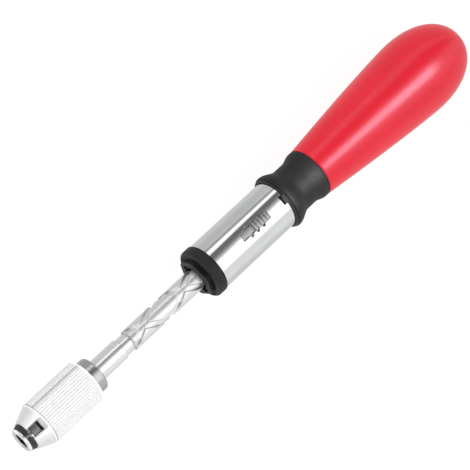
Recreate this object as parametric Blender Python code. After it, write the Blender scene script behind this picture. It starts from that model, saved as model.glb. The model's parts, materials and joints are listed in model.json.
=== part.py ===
"""Push-action spiral ratchet screwdriver, at rest with its spindle run out and its selector at the rear.

Metres, +Z up. The tool lies along X with its bit socket at -X, and the selector faces +Z. Each piece is
placed by its distance from the tip, under the empty tip_datum, and turns or slides on the tool's axis unless
it says otherwise.
"""

import math

import bmesh
import bpy

MM = 0.001

# Room between pieces, and how finely round pieces are cut
SEAT_GAP = 0.15 * MM
RUN_GAP = 0.25 * MM
END_GAP = 0.3 * MM
ROUND_SEGMENTS = 32
PIN_SEGMENTS = 16
CURVE_STEPS = 8

# Bit socket and the chuck body around it
BIT_ACROSS_FLATS = 6.5 * MM
BIT_SOCKET_DEPTH = 14 * MM
SOCKET_FLOOR = 3 * MM
TIP_FACE_DIAMETER = 9.8 * MM
TIP_DIAMETER = 11 * MM
TIP_EDGE = 0.7 * MM
TIP_LENGTH = 1 * MM
CHUCK_BODY_DIAMETER = 11.2 * MM
CHUCK_PIN_DIAMETER = 2 * MM

# Black snap ring in the chuck's nose groove, which keeps the sleeve on, and the key that fills its mouth
NOSE_GROOVE_DIAMETER = 9.2 * MM
NOSE_RING_LENGTH = 1.8 * MM
NOSE_RING_DIAMETER = 12.3 * MM
NOSE_KEY_WIDTH = 1.3 * MM

# Chuck sleeve, its window and the latch that it holds down
SLEEVE_NOSE_DIAMETER = 13.3 * MM
SLEEVE_DIAMETER = 19.4 * MM
SLEEVE_CONE_LENGTH = 6.9 * MM
SLEEVE_GRIP_LENGTH = 26.15 * MM
SLEEVE_EDGE = 0.35 * MM
SLEEVE_TRAVEL = 3.5 * MM
SPRING_CHAMBER_LENGTH = 13.3 * MM
WINDOW_WIDTH = 5.4 * MM
WINDOW_SLOPE = 1.7 * MM
LATCH_WIDTH = 4 * MM
LATCH_LENGTH = 10.8 * MM
LATCH_SUNK = 0.2 * MM
LATCH_THICKNESS = 1.05 * MM
LATCH_SETBACK = 1.1 * MM
LATCH_STEP = 0.6 * MM
LATCH_BUMP = 1.2 * MM
LATCH_TIP_WIDTH = 2.4 * MM
LATCH_TIP_LENGTH = 3 * MM
LATCH_BITE = 0.45 * MM
LATCH_LIFT = 0.5 * MM
SLEEVE_SPRING_WIRE = 1 * MM
SLEEVE_SPRING_TURNS = 4

# Collar behind the sleeve
COLLAR_DIAMETER = 15.3 * MM
COLLAR_LENGTH = 4.65 * MM
COLLAR_ROUND = 1.2 * MM

# Spindle: tang, plain shank, lock neck and two pairs of crossed helical grooves
TANG_DIAMETER = 7.8 * MM
SHANK_DIAMETER = 9.2 * MM
SHANK_LENGTH = 14.35 * MM
LOCK_NECK_DIAMETER = 8 * MM
LOCK_NECK_LENGTH = 4.6 * MM
LOCK_NECK_EDGE = 0.4 * MM
SPIRAL_DIAMETER = 9.4 * MM
GROOVE_DEPTH = 1 * MM
GROOVE_STARTS = 2
GROOVE_FLOOR_STEPS = 1
GROOVE_PHASE_STEPS = 3
SPIRAL_TURN = math.radians(-10)
SPIRAL_SEGMENTS = 32
STROKE = 46 * MM
TURNS_PER_STROKE = 1
JOURNAL_DIAMETER = 5.2 * MM

# Lock ring on the nose of the casing
BOSS_ACROSS_FLATS = 15.2 * MM
BOSS_CORNER_DIAMETER = 16.7 * MM
BOSS_LENGTH = 2.2 * MM
BOSS_WALL = 1.4 * MM
BOSS_TURN = math.radians(17)
FLANGE_DIAMETER = 22.95 * MM
FLANGE_LENGTH = 4.7 * MM
FLANGE_ROUND = 1.4 * MM
RING_SPIGOT_LENGTH = 2.7 * MM
RING_LIP_LENGTH = 1.3 * MM
RING_MOUTH_ROOM = 0.8 * MM
RING_NOTCH_WIDTH = 3 * MM
RING_NOTCH_DEPTH = 1.2 * MM
CLIP_DEPTH = 4.9 * MM
CLIP_SEAT = 1.4 * MM
CLIP_WIRE = 1.1 * MM
CLIP_WINDOW = 3.2 * MM
CLIP_ARC = math.radians(240)
RETAINER_THICKNESS = 1 * MM
RETAINER_WIDTH = 1.2 * MM
RETAINER_MOUTH = 3 * MM

# Casing, its selector slot and the notch for the neck collar's key
CASING_DIAMETER = 22.2 * MM
CASING_WALL = 1 * MM
SLOT_LENGTH = 16 * MM
SLOT_WIDTH = 3.9 * MM
DETENT_DIAMETER = 2 * MM
DETENT_COUNT = 3
KEY_WIDTH = 4 * MM
KEY_LENGTH = 1.7 * MM

# Ratchet body in the casing
BODY_FLANGE_LENGTH = 4.65 * MM
BODY_REAR_FLANGE_LENGTH = 3.7 * MM
HUB_WALL = 1.6 * MM
BUSH_WALL = 1 * MM
SPIGOT_IN_HANDLE = 9 * MM
SPIGOT_WALL = 0.75 * MM

# Ratchet nuts, washers and the rocker pawl between them
NUT_LENGTH = 9 * MM
NUT_DIAMETER = 12.8 * MM
NUT_TEETH = 12
TOOTH_DEPTH = 0.8 * MM
TOOTH_ROOT_HALF = math.radians(4.5)
TOOTH_FLANK = math.radians(2)
WASHER_THICKNESS = 1.4 * MM
SPACER_WALL = 0.65 * MM
ROCKER_ARM = 8 * MM
ROCKER_TILT = math.radians(4)
ROCKER_WIDTH = 3.2 * MM
ROCKER_THICKNESS = 1 * MM
ROCKER_TOOTH_LENGTH = 2 * MM
ROCKER_TOOTH_WIDTH = 0.5 * MM
ROCKER_BOSS = 3.2 * MM
ROCKER_PIN_DIAMETER = 1.2 * MM
ROCKER_PIN_LENGTH = 6 * MM

# Selector and its detent
BUTTON_LENGTH = 8.8 * MM
BUTTON_RISE = 0.5 * MM
BUTTON_RIBS = 5
RIB_HEIGHT = 0.5 * MM
SLOT_END_GAP = 0.2 * MM
PLATE_THICKNESS = 0.7 * MM
PLATE_HALF_ANGLE = math.radians(21)
PLATE_LAP = 0.5 * MM
PLATE_ROOM = 0.5 * MM
DETENT_BALL_DIAMETER = 1.8 * MM
DETENT_WIRE = 0.2 * MM
DETENT_TURNS = 2

# Spring tube, follower and return spring
TUBE_WALL = 0.6 * MM
FOLLOWER_FLANGE = 1.6 * MM
FOLLOWER_HUB_LENGTH = 2.8 * MM
FOLLOWER_HUB_DIAMETER = 9 * MM
SCREW_HEAD_DIAMETER = 6.8 * MM
SCREW_HEAD_LENGTH = 1.8 * MM
SCREW_SHANK_DIAMETER = 2.8 * MM
SCREW_SHANK_LENGTH = 7 * MM
RETURN_SPRING_WIRE = 1.1 * MM
RETURN_SPRING_TURNS = 14
SEAT_FLANGE = 3 * MM
SEAT_HUB_LENGTH = 3 * MM

# Neck collar and handle
NECK_LAP = 1.5 * MM
NECK_LENGTH = 20.8 * MM
NECK_LIP_DIAMETER = 25.65 * MM
NECK_LIP_EDGE = 0.9 * MM
NECK_LIP_AT = 1.4 * MM
NECK_WAIST_DIAMETER = 20.7 * MM
NECK_WAIST_FROM = 9.2 * MM
NECK_WAIST_TO = 13.8 * MM
NECK_LAND = 1.5 * MM
HANDLE_FRONT_DIAMETER = 23.3 * MM
HANDLE_DIAMETER = 35.7 * MM
HANDLE_TAPER_LENGTH = 65.7 * MM
HANDLE_END_LENGTH = 27.8 * MM
HANDLE_TAPER_POWER = 1.25
HANDLE_END_POWER = 2.2
HANDLE_FLOOR = 8.5 * MM

# Distances from the tip, front to rear
NOSE_RING_FRONT = TIP_LENGTH + SEAT_GAP
SLEEVE_FRONT = NOSE_RING_FRONT + NOSE_RING_LENGTH + END_GAP
SLEEVE_SHOULDER = SLEEVE_FRONT + SLEEVE_CONE_LENGTH
SLEEVE_REAR = SLEEVE_SHOULDER + SLEEVE_GRIP_LENGTH
CHUCK_REAR = SLEEVE_REAR - END_GAP
COLLAR_FRONT = SLEEVE_REAR + END_GAP
COLLAR_REAR = COLLAR_FRONT + COLLAR_LENGTH
LOCK_NECK_FRONT = COLLAR_REAR + SHANK_LENGTH
SPIRAL_FRONT = LOCK_NECK_FRONT + LOCK_NECK_LENGTH
CLIP_AT = LOCK_NECK_FRONT + LOCK_NECK_LENGTH / 2 + STROKE
RING_FRONT = CLIP_AT - CLIP_DEPTH
FLANGE_FRONT = RING_FRONT + BOSS_LENGTH
FLANGE_REAR = FLANGE_FRONT + FLANGE_LENGTH
CASING_FRONT = FLANGE_REAR + END_GAP
RING_REAR = FLANGE_REAR + RING_SPIGOT_LENGTH
HUB_FRONT = CLIP_AT - CLIP_SEAT
BODY_FLANGE_FRONT = RING_REAR + END_GAP
BODY_FLANGE_REAR = BODY_FLANGE_FRONT + BODY_FLANGE_LENGTH
SELECTOR_TRAVEL = SLOT_LENGTH - BUTTON_LENGTH - 2 * SLOT_END_GAP
PLATE_FRONT = BODY_FLANGE_REAR + PLATE_ROOM + SELECTOR_TRAVEL
PLATE_LENGTH = SLOT_LENGTH + 2 * PLATE_LAP + SELECTOR_TRAVEL
SLOT_FRONT = PLATE_FRONT + PLATE_LAP
SLOT_MID = SLOT_FRONT + SLOT_LENGTH / 2
BUTTON_AT = SLOT_MID + SELECTOR_TRAVEL / 2
REAR_FLANGE_FRONT = PLATE_FRONT + PLATE_LENGTH + PLATE_ROOM
CASING_REAR = REAR_FLANGE_FRONT + BODY_REAR_FLANGE_LENGTH
NUT_REACH = ROCKER_ARM + NUT_LENGTH / 2
BODY_BORE_FRONT = SLOT_MID - NUT_REACH - WASHER_THICKNESS - 2 * END_GAP
PLUG_FRONT = SLOT_MID + NUT_REACH + WASHER_THICKNESS + 2 * END_GAP
TUBE_FRONT = CASING_REAR + END_GAP
FOLLOWER_FRONT = CASING_REAR + END_GAP
NECK_FRONT = CASING_REAR - NECK_LAP
HANDLE_FRONT = NECK_FRONT + NECK_LENGTH + SEAT_GAP
SPIGOT_REAR = HANDLE_FRONT + SPIGOT_IN_HANDLE
OVERALL_LENGTH = HANDLE_FRONT + HANDLE_TAPER_LENGTH + HANDLE_END_LENGTH
HANDLE_BORE_REAR = OVERALL_LENGTH - HANDLE_FLOOR
SPRING_SEAT_FRONT = HANDLE_BORE_REAR - END_GAP - SEAT_FLANGE

# Radii, from the axis outwards
SPIRAL_RADIUS = SPIRAL_DIAMETER / 2
GROOVE_RADIUS = SPIRAL_RADIUS - GROOVE_DEPTH
NUT_BORE_RADIUS = SPIRAL_RADIUS + RUN_GAP
NUT_RADIUS = NUT_DIAMETER / 2
BODY_BORE_RADIUS = NUT_RADIUS + END_GAP
CASING_RADIUS = CASING_DIAMETER / 2
CASING_BORE_RADIUS = CASING_RADIUS - CASING_WALL
SEATED_RADIUS = CASING_BORE_RADIUS - RUN_GAP
PLATE_BORE_RADIUS = SEATED_RADIUS - PLATE_THICKNESS
BODY_RADIUS = PLATE_BORE_RADIUS - END_GAP
BUSH_RADIUS = NUT_BORE_RADIUS + BUSH_WALL
CLIP_RADIUS = NUT_BORE_RADIUS + CLIP_WIRE / 2
CLIP_GROOVE_RADIUS = CLIP_RADIUS + CLIP_WIRE / 2 + RUN_GAP
HUB_RADIUS = BUSH_RADIUS + SEAT_GAP + HUB_WALL
RETAINER_BORE_RADIUS = HUB_RADIUS - RETAINER_WIDTH / 2 + SEAT_GAP
RETAINER_RADIUS = RETAINER_BORE_RADIUS + RETAINER_WIDTH
RING_CAVITY_RADIUS = RETAINER_RADIUS + RUN_GAP
FOLLOWER_RADIUS = BODY_BORE_RADIUS + SEAT_GAP
TUBE_BORE_RADIUS = FOLLOWER_RADIUS + RUN_GAP
TUBE_RADIUS = TUBE_BORE_RADIUS + TUBE_WALL
TUBE_SEAT_RADIUS = TUBE_RADIUS + SEAT_GAP
SPIGOT_RADIUS = TUBE_SEAT_RADIUS + SPIGOT_WALL
NECK_BORE_RADIUS = SPIGOT_RADIUS + SEAT_GAP
SLEEVE_BORE_RADIUS = CHUCK_BODY_DIAMETER / 2 + END_GAP
SPRING_CHAMBER_RADIUS = COLLAR_DIAMETER / 2 + END_GAP
RETURN_SPRING_RADIUS = (FOLLOWER_HUB_DIAMETER / 2 + TUBE_BORE_RADIUS) / 2

# Heights of the rocker pawl over the axis, with the pawl level
ROCKER_DROP = ROCKER_ARM * math.sin(ROCKER_TILT)
ROCKER_BELLY = NUT_RADIUS + RUN_GAP + ROCKER_DROP
ROCKER_TOP = ROCKER_BELLY + ROCKER_THICKNESS
ROCKER_PIN_HEIGHT = ROCKER_TOP - ROCKER_THICKNESS / 2 - ROCKER_PIN_DIAMETER / 2
ROCKER_TOOTH_TIP = NUT_RADIUS - TOOTH_DEPTH + RUN_GAP + ROCKER_DROP
DETENT_BALL_HEIGHT = ROCKER_TOP + SEAT_GAP + DETENT_BALL_DIAMETER / 2
BUTTON_TOP = CASING_RADIUS + BUTTON_RISE

# Latch heights over the axis, with a corner of the bit socket under the latch
BIT_CORNER_RADIUS = BIT_ACROSS_FLATS / math.sqrt(3)
LATCH_TOP = CHUCK_BODY_DIAMETER / 2 - LATCH_SUNK
LATCH_SHELF = LATCH_TOP - LATCH_THICKNESS
LATCH_FRONT = SLEEVE_FRONT + LATCH_SETBACK
LATCH_REAR = LATCH_FRONT + LATCH_LENGTH

STEEL = ((0.55, 0.56, 0.57, 1), 0.3, 1.0)
BRIGHT_STEEL = ((0.72, 0.73, 0.74, 1), 0.2, 1.0)
DARK_STEEL = ((0.2, 0.2, 0.21, 1), 0.4, 1.0)
CHROME = ((0.8, 0.81, 0.83, 1), 0.08, 1.0)
ALUMINIUM = ((0.82, 0.83, 0.84, 1), 0.25, 1.0)
BRONZE = ((0.6, 0.42, 0.2, 1), 0.4, 1.0)
ZINC = ((0.45, 0.46, 0.48, 1), 0.45, 1.0)
BLACK_PLASTIC = ((0.02, 0.02, 0.022, 1), 0.4, 0.0)
RED_PLASTIC = ((0.75, 0.03, 0.05, 1), 0.3, 0.0)


def clear_scene():
    for obj in list(bpy.data.objects):
        bpy.data.objects.remove(obj, do_unlink=True)


def add_datum():
    datum = bpy.data.objects.new("tip_datum", None)
    datum.location.x = -OVERALL_LENGTH / 2
    bpy.context.scene.collection.objects.link(datum)
    return datum


def give_finish(obj, finish):
    """A piece gets its own material, and an object without a finish is a cutter."""
    if finish is None:
        obj.hide_render = True
        obj.display_type = "WIRE"
        return
    colour, roughness, metallic = finish
    material = bpy.data.materials.new(obj.name + "_finish")
    material.use_nodes = True
    shader = material.node_tree.nodes["Principled BSDF"]
    shader.inputs["Base Color"].default_value = colour
    shader.inputs["Roughness"].default_value = roughness
    shader.inputs["Metallic"].default_value = metallic
    material.diffuse_color = colour
    obj.data.materials.append(material)


def place(obj, finish, at):
    bpy.context.scene.collection.objects.link(obj)
    obj.parent = bpy.data.objects["tip_datum"]
    obj.location = at
    give_finish(obj, finish)
    return obj


def add_mesh(name, bm, finish, at):
    bmesh.ops.recalc_face_normals(bm, faces=bm.faces)
    mesh = bpy.data.meshes.new(name)
    bm.to_mesh(mesh)
    bm.free()
    mesh.shade_smooth()
    mesh.set_sharp_from_angle(angle=math.radians(35))
    return place(bpy.data.objects.new(name, mesh), finish, at)


def skin(bm, near, far):
    """Faces between two rings of points. A bent quad is split along its flatter diagonal."""
    count = max(len(near), len(far))
    for i in range(count):
        j = (i + 1) % count
        if len(near) == 1:
            bm.faces.new((near[0], far[i], far[j]))
        elif len(far) == 1:
            bm.faces.new((near[i], far[0], near[j]))
        else:
            radii = [math.hypot(v.co.y, v.co.z) for v in (near[i], near[j], far[j], far[i])]
            if max(radii[:2]) - min(radii[:2]) < SEAT_GAP and abs(radii[2] - radii[3]) < SEAT_GAP:
                bm.faces.new((near[i], near[j], far[j], far[i]))
            elif abs(radii[0] - radii[2]) < abs(radii[1] - radii[3]):
                bm.faces.new((near[i], near[j], far[j]))
                bm.faces.new((near[i], far[j], far[i]))
            else:
                bm.faces.new((near[i], near[j], far[i]))
                bm.faces.new((near[j], far[j], far[i]))


def turned(name, outline, at=0.0, finish=None, segments=ROUND_SEGMENTS):
    """Outline of (along, radius) points turned about X: a chain between two axis points, or a closed loop."""
    bm = bmesh.new()
    rings = []
    for along, radius in outline:
        ring = []
        for i in range(segments if radius else 1):
            angle = (i + 0.5) * math.tau / segments
            ring.append(bm.verts.new((along, radius * math.cos(angle), radius * math.sin(angle))))
        rings.append(ring)
    for near, far in zip(rings, rings[1:]):
        skin(bm, near, far)
    if len(rings[0]) > 1:
        skin(bm, rings[-1], rings[0])
    return add_mesh(name, bm, finish, (at, 0, 0))


def tube(name, front, rear, inner, outer, finish):
    length = rear - front
    return turned(name, [(0, inner), (0, outer), (length, outer), (length, inner)], front, finish)


def ring_stack(name, rings, finish=None):
    """Closed solid through rings of (along, radii), each with one radius for every spiral segment."""
    bm = bmesh.new()
    loops = []
    for along, radii in rings:
        loop = []
        for i, radius in enumerate(radii):
            angle = SPIRAL_TURN + i * math.tau / SPIRAL_SEGMENTS
            loop.append(bm.verts.new((along, radius * math.cos(angle), radius * math.sin(angle))))
        loops.append(loop)
    for near, far in zip(loops, loops[1:]):
        skin(bm, near, far)
    bm.faces.new(loops[0])
    bm.faces.new(loops[-1])
    return add_mesh(name, bm, finish, (0, 0, 0))


def prism(name, points, axis, low, high, at=(0, 0, 0), finish=None):
    """Flat outline in the plane across the axis, drawn out from low to high along it."""
    order = {"X": (2, 0, 1), "Y": (0, 2, 1), "Z": (0, 1, 2)}[axis]
    bm = bmesh.new()
    ends = []
    for level in (low, high):
        end = []
        for point in points:
            coords = (point[0], point[1], level)
            end.append(bm.verts.new([coords[k] for k in order]))
        ends.append(end)
    bm.faces.new(ends[0])
    bm.faces.new(ends[1])
    for i in range(len(points)):
        j = (i + 1) % len(points)
        bm.faces.new((ends[0][i], ends[0][j], ends[1][j], ends[1][i]))
    return add_mesh(name, bm, finish, at)


def box(name, x, y, z, finish=None):
    corners = [(x[0], y[0]), (x[1], y[0]), (x[1], y[1]), (x[0], y[1])]
    return prism(name, corners, "Z", z[0], z[1], finish=finish)


def circle(radius, centre=(0, 0), segments=PIN_SEGMENTS, turn=0.0):
    points = []
    for i in range(segments):
        angle = turn + i * math.tau / segments
        points.append((centre[0] + radius * math.cos(angle), centre[1] + radius * math.sin(angle)))
    return points


def hexagon(across_flats, turn=0.0):
    """Hexagon in the YZ plane with a corner at +Z, turned about X."""
    return circle(across_flats / math.sqrt(3), segments=6, turn=turn + math.pi / 6)


def clipped_hexagon(across_flats, corner_diameter, turn):
    """Hexagon like the other, with its corners cut back to a circle."""
    half_flat = math.acos(across_flats / corner_diameter)
    points = []
    for i in range(6):
        middle = turn + i * math.tau / 6
        for angle in (middle - half_flat, middle + half_flat):
            points.append((corner_diameter / 2 * math.cos(angle), corner_diameter / 2 * math.sin(angle)))
    return points


def wire(name, points, thickness, finish, at=(0, 0, 0)):
    curve = bpy.data.curves.new(name, "CURVE")
    curve.dimensions = "3D"
    curve.bevel_depth = thickness / 2
    curve.bevel_resolution = 1
    curve.use_fill_caps = True
    curve.twist_mode = "MINIMUM"
    spline = curve.splines.new("POLY")
    spline.points.add(len(points) - 1)
    for slot, point in zip(spline.points, points):
        slot.co = (*point, 1)
    return place(bpy.data.objects.new(name, curve), finish, at)


def coil(name, front, rear, radius, thickness, turns, finish, axis="X", at=(0, 0, 0)):
    """Open helix between two seats, clear of both by its own half thickness and the seat gap."""
    start = front + thickness / 2 + SEAT_GAP
    end = rear - thickness / 2 - SEAT_GAP
    points = []
    for i in range(turns * CURVE_STEPS + 1):
        share = i / (turns * CURVE_STEPS)
        along = start + (end - start) * share
        around = (radius * math.cos(share * turns * math.tau), radius * math.sin(share * turns * math.tau))
        points.append((along, *around) if axis == "X" else (*around, along))
    gap = (end - start) / turns - thickness
    print(f"{name}: least gap to itself {gap / MM:.2f} mm")
    return wire(name, points, thickness, finish, at)


def boolean(obj, other, operation):
    modifier = obj.modifiers.new(other.name, "BOOLEAN")
    modifier.operation = operation
    modifier.solver = "EXACT"
    modifier.object = other


def cut(obj, *cutters):
    for cutter in cutters:
        boolean(obj, cutter, "DIFFERENCE")


def join(obj, *others):
    for other in others:
        boolean(obj, other, "UNION")


def groove_offset(i, j, hand):
    """Steps from point i of ring j to the nearest groove of this hand."""
    pitch = SPIRAL_SEGMENTS // GROOVE_STARTS
    return abs((i - hand * (j + GROOVE_PHASE_STEPS) + pitch // 2) % pitch - pitch // 2)


def spiral_radii(j):
    radii = []
    for i in range(SPIRAL_SEGMENTS):
        nearest = min(groove_offset(i, j, hand) for hand in (1, -1))
        radii.append(GROOVE_RADIUS if nearest <= GROOVE_FLOOR_STEPS else SPIRAL_RADIUS)
    return radii


def nut_radii(j, hand):
    lug = GROOVE_RADIUS + RUN_GAP
    return [NUT_BORE_RADIUS if groove_offset(i, j, hand) else lug for i in range(SPIRAL_SEGMENTS)]


def eased(start, end, steps):
    """Points from one (along, radius) to another with a level start and finish."""
    points = []
    for i in range(steps + 1):
        share = i / steps
        rise = (1 - math.cos(share * math.pi)) / 2
        points.append((start[0] + (end[0] - start[0]) * share, start[1] + (end[1] - start[1]) * rise))
    return points


def build_chuck():
    body_radius = CHUCK_BODY_DIAMETER / 2
    seat = SLEEVE_FRONT + END_GAP
    tang_seat = BIT_SOCKET_DEPTH + SOCKET_FLOOR
    tang_bore = TANG_DIAMETER / 2 + SEAT_GAP
    body = turned(
        "chuck_body",
        [
            (0, 0),
            (0, TIP_FACE_DIAMETER / 2),
            (TIP_EDGE, TIP_DIAMETER / 2),
            (TIP_LENGTH, TIP_DIAMETER / 2),
            (TIP_LENGTH, NOSE_GROOVE_DIAMETER / 2),
            (seat, NOSE_GROOVE_DIAMETER / 2),
            (seat, body_radius),
            (CHUCK_REAR, body_radius),
            (CHUCK_REAR, tang_bore),
            (tang_seat, tang_bore),
            (tang_seat, 0),
        ],
        finish=BRIGHT_STEEL,
    )
    key = NOSE_KEY_WIDTH / 2
    key_foot = NOSE_GROOVE_DIAMETER / 2 - END_GAP
    join(body, box("chuck_key", (TIP_LENGTH / 2, seat + END_GAP), (-key, key), (key_foot, LATCH_TOP)))
    cut(body, prism("socket_cutter", hexagon(BIT_ACROSS_FLATS), "X", -END_GAP, BIT_SOCKET_DEPTH))
    half = LATCH_WIDTH / 2 + SEAT_GAP
    cut(
        body,
        box(
            "latch_pocket_cutter",
            (LATCH_FRONT - END_GAP, LATCH_REAR + END_GAP),
            (-half, half),
            (LATCH_SHELF - SEAT_GAP, SLEEVE_DIAMETER),
        ),
    )
    tip_front = LATCH_FRONT + LATCH_TIP_LENGTH / 2
    half = LATCH_TIP_WIDTH / 2 + SEAT_GAP
    cut(
        body,
        box(
            "latch_tip_cutter",
            (tip_front - SEAT_GAP, tip_front + LATCH_TIP_LENGTH + SEAT_GAP),
            (-half, half),
            (BIT_CORNER_RADIUS / 2, LATCH_SHELF),
        ),
    )
    pin_at = (tang_seat + CHUCK_REAR) / 2
    pin_hole = prism(
        "chuck_pin_cutter",
        circle(CHUCK_PIN_DIAMETER / 2 + SEAT_GAP, (pin_at, 0)),
        "Y",
        -SLEEVE_DIAMETER,
        SLEEVE_DIAMETER,
    )
    cut(body, pin_hole)
    prism(
        "chuck_pin",
        circle(CHUCK_PIN_DIAMETER / 2, (pin_at, 0)),
        "Y",
        -body_radius + SEAT_GAP,
        body_radius - SEAT_GAP,
        finish=STEEL,
    )

    bore = NOSE_GROOVE_DIAMETER / 2 + SEAT_GAP
    nose = turned(
        "nose_ring",
        [
            (0, bore),
            (0, TIP_DIAMETER / 2),
            (NOSE_RING_LENGTH, NOSE_RING_DIAMETER / 2),
            (NOSE_RING_LENGTH, bore),
        ],
        NOSE_RING_FRONT,
        BLACK_PLASTIC,
    )
    half = NOSE_KEY_WIDTH / 2 + SEAT_GAP
    cut(nose, box("nose_key_cutter", (-END_GAP, SLEEVE_FRONT), (-half, half), (0, NOSE_RING_DIAMETER)))

    latch_outline = [
        (LATCH_FRONT, LATCH_SHELF),
        (LATCH_REAR, LATCH_SHELF),
        (LATCH_REAR, LATCH_TOP),
        (LATCH_REAR - LATCH_BUMP, LATCH_TOP),
        (LATCH_REAR - LATCH_BUMP - LATCH_STEP, LATCH_TOP - LATCH_STEP),
        (SLEEVE_SHOULDER - WINDOW_SLOPE, LATCH_TOP - LATCH_STEP),
        (SLEEVE_SHOULDER - WINDOW_SLOPE - LATCH_STEP, LATCH_TOP),
        (LATCH_FRONT, LATCH_TOP),
    ]
    latch = prism("bit_latch", latch_outline, "Y", -LATCH_WIDTH / 2, LATCH_WIDTH / 2, finish=DARK_STEEL)
    half = LATCH_TIP_WIDTH / 2
    bite = BIT_CORNER_RADIUS - LATCH_BITE
    join(
        latch,
        box(
            "latch_tip",
            (tip_front, tip_front + LATCH_TIP_LENGTH),
            (-half, half),
            (bite, LATCH_SHELF + SEAT_GAP),
        ),
    )
    return pin_hole


def build_sleeve():
    length = SLEEVE_REAR - SLEEVE_FRONT
    cone_front = SLEEVE_NOSE_DIAMETER / 2
    radius = SLEEVE_DIAMETER / 2
    chamber = length - SPRING_CHAMBER_LENGTH
    ramp_rear = LATCH_REAR - LATCH_BUMP / 2 - SLEEVE_FRONT
    ramp_front = ramp_rear - SLEEVE_TRAVEL
    relief = SLEEVE_BORE_RADIUS + LATCH_LIFT + END_GAP
    sleeve = turned(
        "chuck_sleeve",
        [
            (0, SLEEVE_BORE_RADIUS),
            (0, cone_front),
            (SLEEVE_CONE_LENGTH, radius),
            (length - SLEEVE_EDGE, radius),
            (length, radius - SLEEVE_EDGE),
            (length, SPRING_CHAMBER_RADIUS),
            (chamber, SPRING_CHAMBER_RADIUS),
            (chamber, SLEEVE_BORE_RADIUS),
            (ramp_rear, SLEEVE_BORE_RADIUS),
            (ramp_front, relief),
            (ramp_front - 2 * LATCH_STEP, relief),
            (ramp_front - 2 * LATCH_STEP, SLEEVE_BORE_RADIUS),
        ],
        SLEEVE_FRONT,
        ALUMINIUM,
    )
    floor = CHUCK_BODY_DIAMETER / 2 - END_GAP
    window = [
        (-END_GAP, floor),
        (SLEEVE_CONE_LENGTH - WINDOW_SLOPE, floor),
        (SLEEVE_CONE_LENGTH, radius),
        (SLEEVE_CONE_LENGTH, SLEEVE_DIAMETER),
        (-END_GAP, SLEEVE_DIAMETER),
    ]
    cut(
        sleeve,
        prism("window_cutter", window, "Y", -WINDOW_WIDTH / 2, WINDOW_WIDTH / 2, (SLEEVE_FRONT, 0, 0)),
    )
    coil(
        "sleeve_spring",
        SLEEVE_FRONT + chamber,
        COLLAR_FRONT,
        (SPRING_CHAMBER_RADIUS + CHUCK_BODY_DIAMETER / 2) / 2,
        SLEEVE_SPRING_WIRE,
        SLEEVE_SPRING_TURNS,
        STEEL,
    )
    bore = SHANK_DIAMETER / 2 + SEAT_GAP
    rim = COLLAR_DIAMETER / 2
    outline = [(0, bore), (0, rim)]
    for i in range(CURVE_STEPS // 2 + 1):
        angle = i * math.pi / CURVE_STEPS
        drop = COLLAR_ROUND * (1 - math.cos(angle))
        outline.append((COLLAR_LENGTH - COLLAR_ROUND * (1 - math.sin(angle)), rim - drop))
    outline.append((COLLAR_LENGTH, bore))
    turned("chuck_collar", outline, COLLAR_FRONT, STEEL)


def build_spindle(pin_hole):
    def plain(along, radius):
        return (along, [radius] * SPIRAL_SEGMENTS)

    step = STROKE / TURNS_PER_STROKE / SPIRAL_SEGMENTS
    grooved = SLOT_MID + NUT_REACH - SPIRAL_FRONT
    count = math.ceil(grooved / step) + 1
    tang = TANG_DIAMETER / 2
    shank = SHANK_DIAMETER / 2
    neck = LOCK_NECK_DIAMETER / 2
    journal = JOURNAL_DIAMETER / 2
    shoulder = FOLLOWER_FRONT - SEAT_GAP
    journal_rear = FOLLOWER_FRONT + FOLLOWER_FLANGE + FOLLOWER_HUB_LENGTH + SEAT_GAP
    rings = [
        plain(BIT_SOCKET_DEPTH + SOCKET_FLOOR + END_GAP, tang),
        plain(SLEEVE_REAR, tang),
        plain(SLEEVE_REAR, shank),
        plain(LOCK_NECK_FRONT - LOCK_NECK_EDGE, shank),
        plain(LOCK_NECK_FRONT, neck),
        plain(SPIRAL_FRONT - LOCK_NECK_EDGE, neck),
    ]
    rings += [(SPIRAL_FRONT + j * step, spiral_radii(j)) for j in range(count)]
    rings += [
        plain(SPIRAL_FRONT + count * step, SPIRAL_RADIUS),
        plain(shoulder, SPIRAL_RADIUS),
        plain(shoulder, journal),
        plain(journal_rear, journal),
    ]
    spindle = ring_stack("spiral_spindle", rings, BRIGHT_STEEL)
    screw_hole = circle(SCREW_SHANK_DIAMETER / 2 + SEAT_GAP)
    depth = SCREW_SHANK_LENGTH + END_GAP
    cut(
        spindle,
        pin_hole,
        prism("screw_hole_cutter", screw_hole, "X", journal_rear - depth, journal_rear + depth),
    )
    shank = SCREW_SHANK_DIAMETER / 2
    head = SCREW_HEAD_DIAMETER / 2
    turned(
        "spindle_screw",
        [
            (-SCREW_SHANK_LENGTH, 0),
            (-SCREW_SHANK_LENGTH, shank),
            (0, shank),
            (0, head),
            (SCREW_HEAD_LENGTH, head),
            (SCREW_HEAD_LENGTH, 0),
        ],
        journal_rear + SEAT_GAP,
        STEEL,
        PIN_SEGMENTS,
    )
    return step


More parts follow.
